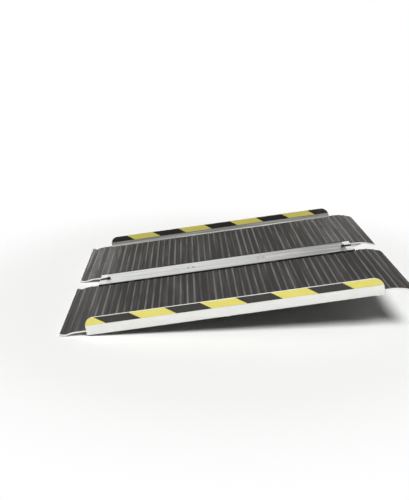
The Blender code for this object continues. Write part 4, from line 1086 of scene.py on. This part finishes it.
# The centre profile: a wide extrusion with a socket along each side, a shallow groove down the middle of its
# face and a channel below for the strap. Slotted at both ends for the locks.

eased_piece("spine_profile", SATIN_ALUMINIUM, PROFILE_EASE)

# The locks: black nylon slides, pushed with a thumb on the knob, which runs along the slot of a black guide
# plate on the strip. The slide's two pins enter the plugs' eyes and hold both halves open.

LOCK_NYLON = (0.016, 0.015, 0.014, 1)
LOCK_POLISHED = (0.07, 0.068, 0.064, 1)
LOCK_RELIEF = 0.00005
LOCK_EASE = 0.0003


def lock_nylon_finish():
    """Black glass-filled nylon: a faint mottle, fingers' polish on the knob's edges."""
    made, paint, place = new_finish("lock_nylon", Roughness=0.6, Specular_IOR_Level=0.25)
    black = effect(TONE_DRIFT, place, Color=LOCK_NYLON, Scale=90.0, Depth=0.4)
    rubbed = effect(EDGE_WEAR, place, Width=0.0009, Break_Up=300.0, Amount=0.8)
    color = mixed(rubbed, black, LOCK_POLISHED)
    mottle = noise(place, 1500.0, Detail=3.0)
    rough = ramped(mottle, 0.3, 0.7, 0.55, 0.72)
    feed(paint, {"Base Color": color, "Roughness": rough, "Normal": bumped(mottle, LOCK_RELIEF)})
    return made


LOCK_BLACK = lock_nylon_finish()
for end in ENDS:
    eased_piece(f"{end}_lock_slide", LOCK_BLACK, LOCK_EASE)
    eased_piece(f"{end}_lock_guide", LOCK_BLACK, LOCK_EASE)

# The carrying strap: flat nylon webbing, held at both ends under a clamp plate, bowed down between them so
# that fingers fit behind it when the folded ramp is carried.

STRAP_BOW_SHAPE = 0.75
STRAP_ROWS = 260
STRAP_FLAT_PAST_CLAMP = 0.004
SELVEDGE_STEPS = 8
STRAP_FACE_STEPS = 14
WEBBING = (0.042, 0.040, 0.039, 1)
WEBBING_FUZZ = (0.115, 0.110, 0.105, 1)
WEBBING_RELIEF = 0.0005
WARP_PITCH = 0.0014
WEFT_PITCH = 0.0010


def strap_section(half, thickness):
    """The strap's cross section, round at both selvedges, as (across, up) from its top middle."""
    radius = thickness / 2
    rounds = []
    for start, centre in ((90, half - radius), (270, radius - half)):
        turns = [math.radians(start - 180 * i / SELVEDGE_STEPS) for i in range(SELVEDGE_STEPS + 1)]
        rounds.append([(centre + radius * math.cos(a), radius * math.sin(a) - radius) for a in turns])
    steps = range(1, STRAP_FACE_STEPS)
    top = [((radius - half) + (2 * half - 2 * radius) * i / STRAP_FACE_STEPS, 0.0) for i in steps]
    low = [(-across, -thickness) for across, _ in top]
    return rounds[0] + low + rounds[1] + top


def strap_shape():
    """The section swept along the bow, with the distances across and along it kept for the weave."""
    low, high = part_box("carry_strap")
    clamp_low, clamp_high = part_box("upper_strap_clamp")
    thickness = high.z - clamp_high.z - SEAT_GAP
    end_in = clamp_low.x - STRAP_FLAT_PAST_CLAMP
    bow = high.z - low.z - thickness
    section = strap_section(high.y, thickness)
    middle = (low.x + high.x) / 2
    line = []
    for i in range(STRAP_ROWS + 1):
        x = low.x + (high.x - low.x) * i / STRAP_ROWS
        share = (x - middle) / (2 * (end_in - middle)) + 0.5
        drop = bow * math.sin(math.pi * share) ** STRAP_BOW_SHAPE if 0 < share < 1 else 0.0
        line.append(Vector((x, 0, high.z - drop)))
    shape = bmesh.new()
    weave = shape.loops.layers.uv.new("weave")
    rings = [[shape.verts.new(spot + Vector((0, across, up))) for across, up in section] for spot in line]
    around = [0.0]
    for first, second in zip(section, section[1:] + section[:1]):
        around.append(around[-1] + math.dist(first, second))
    run = [0.0]
    for first, second in zip(line, line[1:]):
        run.append(run[-1] + (second - first).length)
    for row, (first, second) in enumerate(zip(rings, rings[1:])):
        for i in range(len(section)):
            j = (i + 1) % len(section)
            face = shape.faces.new((first[i], first[j], second[j], second[i]))
            spots = ((around[i], run[row]), (around[i + 1], run[row]))
            spots += ((around[i + 1], run[row + 1]), (around[i], run[row + 1]))
            for loop, spot in zip(face.loops, spots):
                loop[weave].uv = spot
    shape.faces.new(rings[0][::-1])
    shape.faces.new(rings[-1])
    bmesh.ops.recalc_face_normals(shape, faces=shape.faces)
    return shape


def webbing_finish():
    """A plain weave of thick yarns, by the distances across and along the strap, with a little fuzz."""
    made, paint, place = new_finish("webbing", Roughness=0.8, Sheen_Weight=0.25, Sheen_Roughness=0.5)
    spot = coordinates(add(made.node_tree, "ShaderNodeUVMap", uv_map="weave").outputs[0])
    row = worked("DIVIDE", spot["Y"], WEFT_PITCH)
    shift = worked("MULTIPLY", worked("FLOOR", row), 0.5)
    yarn = worked("MULTIPLY_ADD", spot["X"], 1 / WARP_PITCH, shift)
    across, along = [
        worked("ABSOLUTE", worked("SINE", worked("MULTIPLY", turn, math.pi)))
        for turn in (yarn, row)
    ]
    hump = worked("MULTIPLY", across, worked("POWER", along, 0.6))
    fuzz = noise(place, 900.0, Detail=4.0)
    black = effect(TONE_DRIFT, place, Color=WEBBING, Scale=60.0, Depth=0.3)
    light = worked("MULTIPLY", ramped(hump, 0.5, 1.0, 0.0, 0.7), ramped(fuzz, 0.4, 0.7))
    color = mixed(light, black, WEBBING_FUZZ)
    height = worked("MULTIPLY_ADD", fuzz, 0.2, hump)
    feed(paint, {"Base Color": color, "Normal": bumped(height, WEBBING_RELIEF)})
    return made


strap = placed("carry_strap_webbing", shaded(mesh_of("carry_strap_webbing", strap_shape(), webbing_finish())))
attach(strap, "centre")
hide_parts("carry_strap")

# Strap clamps and screws: a zinc-plated plate under each end of the strap, pulled up by two domed screws
# with hexagon sockets, put in from the profile's face.

ZINC = (0.52, 0.53, 0.53, 1)
ZINC_YELLOWED = (0.40, 0.38, 0.31, 1)
CLAMP_EASE = 0.0002
SCREW = {
    "Head Radius": 0.0034,
    "Head Height": 0.0017,
    "Shank Radius": 0.0020,
    "Recess Radius": 0.0018,
    "Recess Depth": 0.0013,
    "Recess Sides": 6,
}


def zinc_plate_finish():
    """Zinc-plated steel: spangled, every spangle a little yellowed and with its own sheen."""
    made, paint, place = new_finish("zinc_plate", Roughness=0.35, Metallic=1.0)
    spangle = cells(place, 420.0, "Color")
    spangle = add(made.node_tree, "ShaderNodeSeparateColor", {0: spangle}).outputs[0]
    zinc = effect(TONE_DRIFT, place, Color=ZINC, Scale=120.0, Depth=0.25)
    color = mixed(ramped(spangle, 0.2, 0.9, 0.0, 0.5), zinc, ZINC_YELLOWED)
    feed(paint, {"Base Color": color, "Roughness": ramped(spangle, 0.0, 1.0, 0.28, 0.44)})
    return made


ZINC_PLATE = zinc_plate_finish()
for end in ENDS:
    eased_piece(f"{end}_strap_clamp", ZINC_PLATE, CLAMP_EASE)
SCREW_NODES = [f"{end}_strap_screw_{number}" for end in ENDS for number in (1, 2)]
SCREW_BOXES = [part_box(name) for name in SCREW_NODES]
spots = [((low.x + high.x) / 2, 0, high.z - SCREW["Head Height"]) for low, high in SCREW_BOXES]
shank = SCREW_BOXES[0][1].z - SCREW_BOXES[0][0].z - SCREW["Head Height"]
fitted = {**SCREW, "Shank Length": shank, "Axis": (0, 0, 1), "Finish": ZINC_PLATE}
screws = made_by(FASTENER, "strap_screws", start_mesh("points", spots), fitted)
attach(screws, "centre")
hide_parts(*SCREW_NODES)
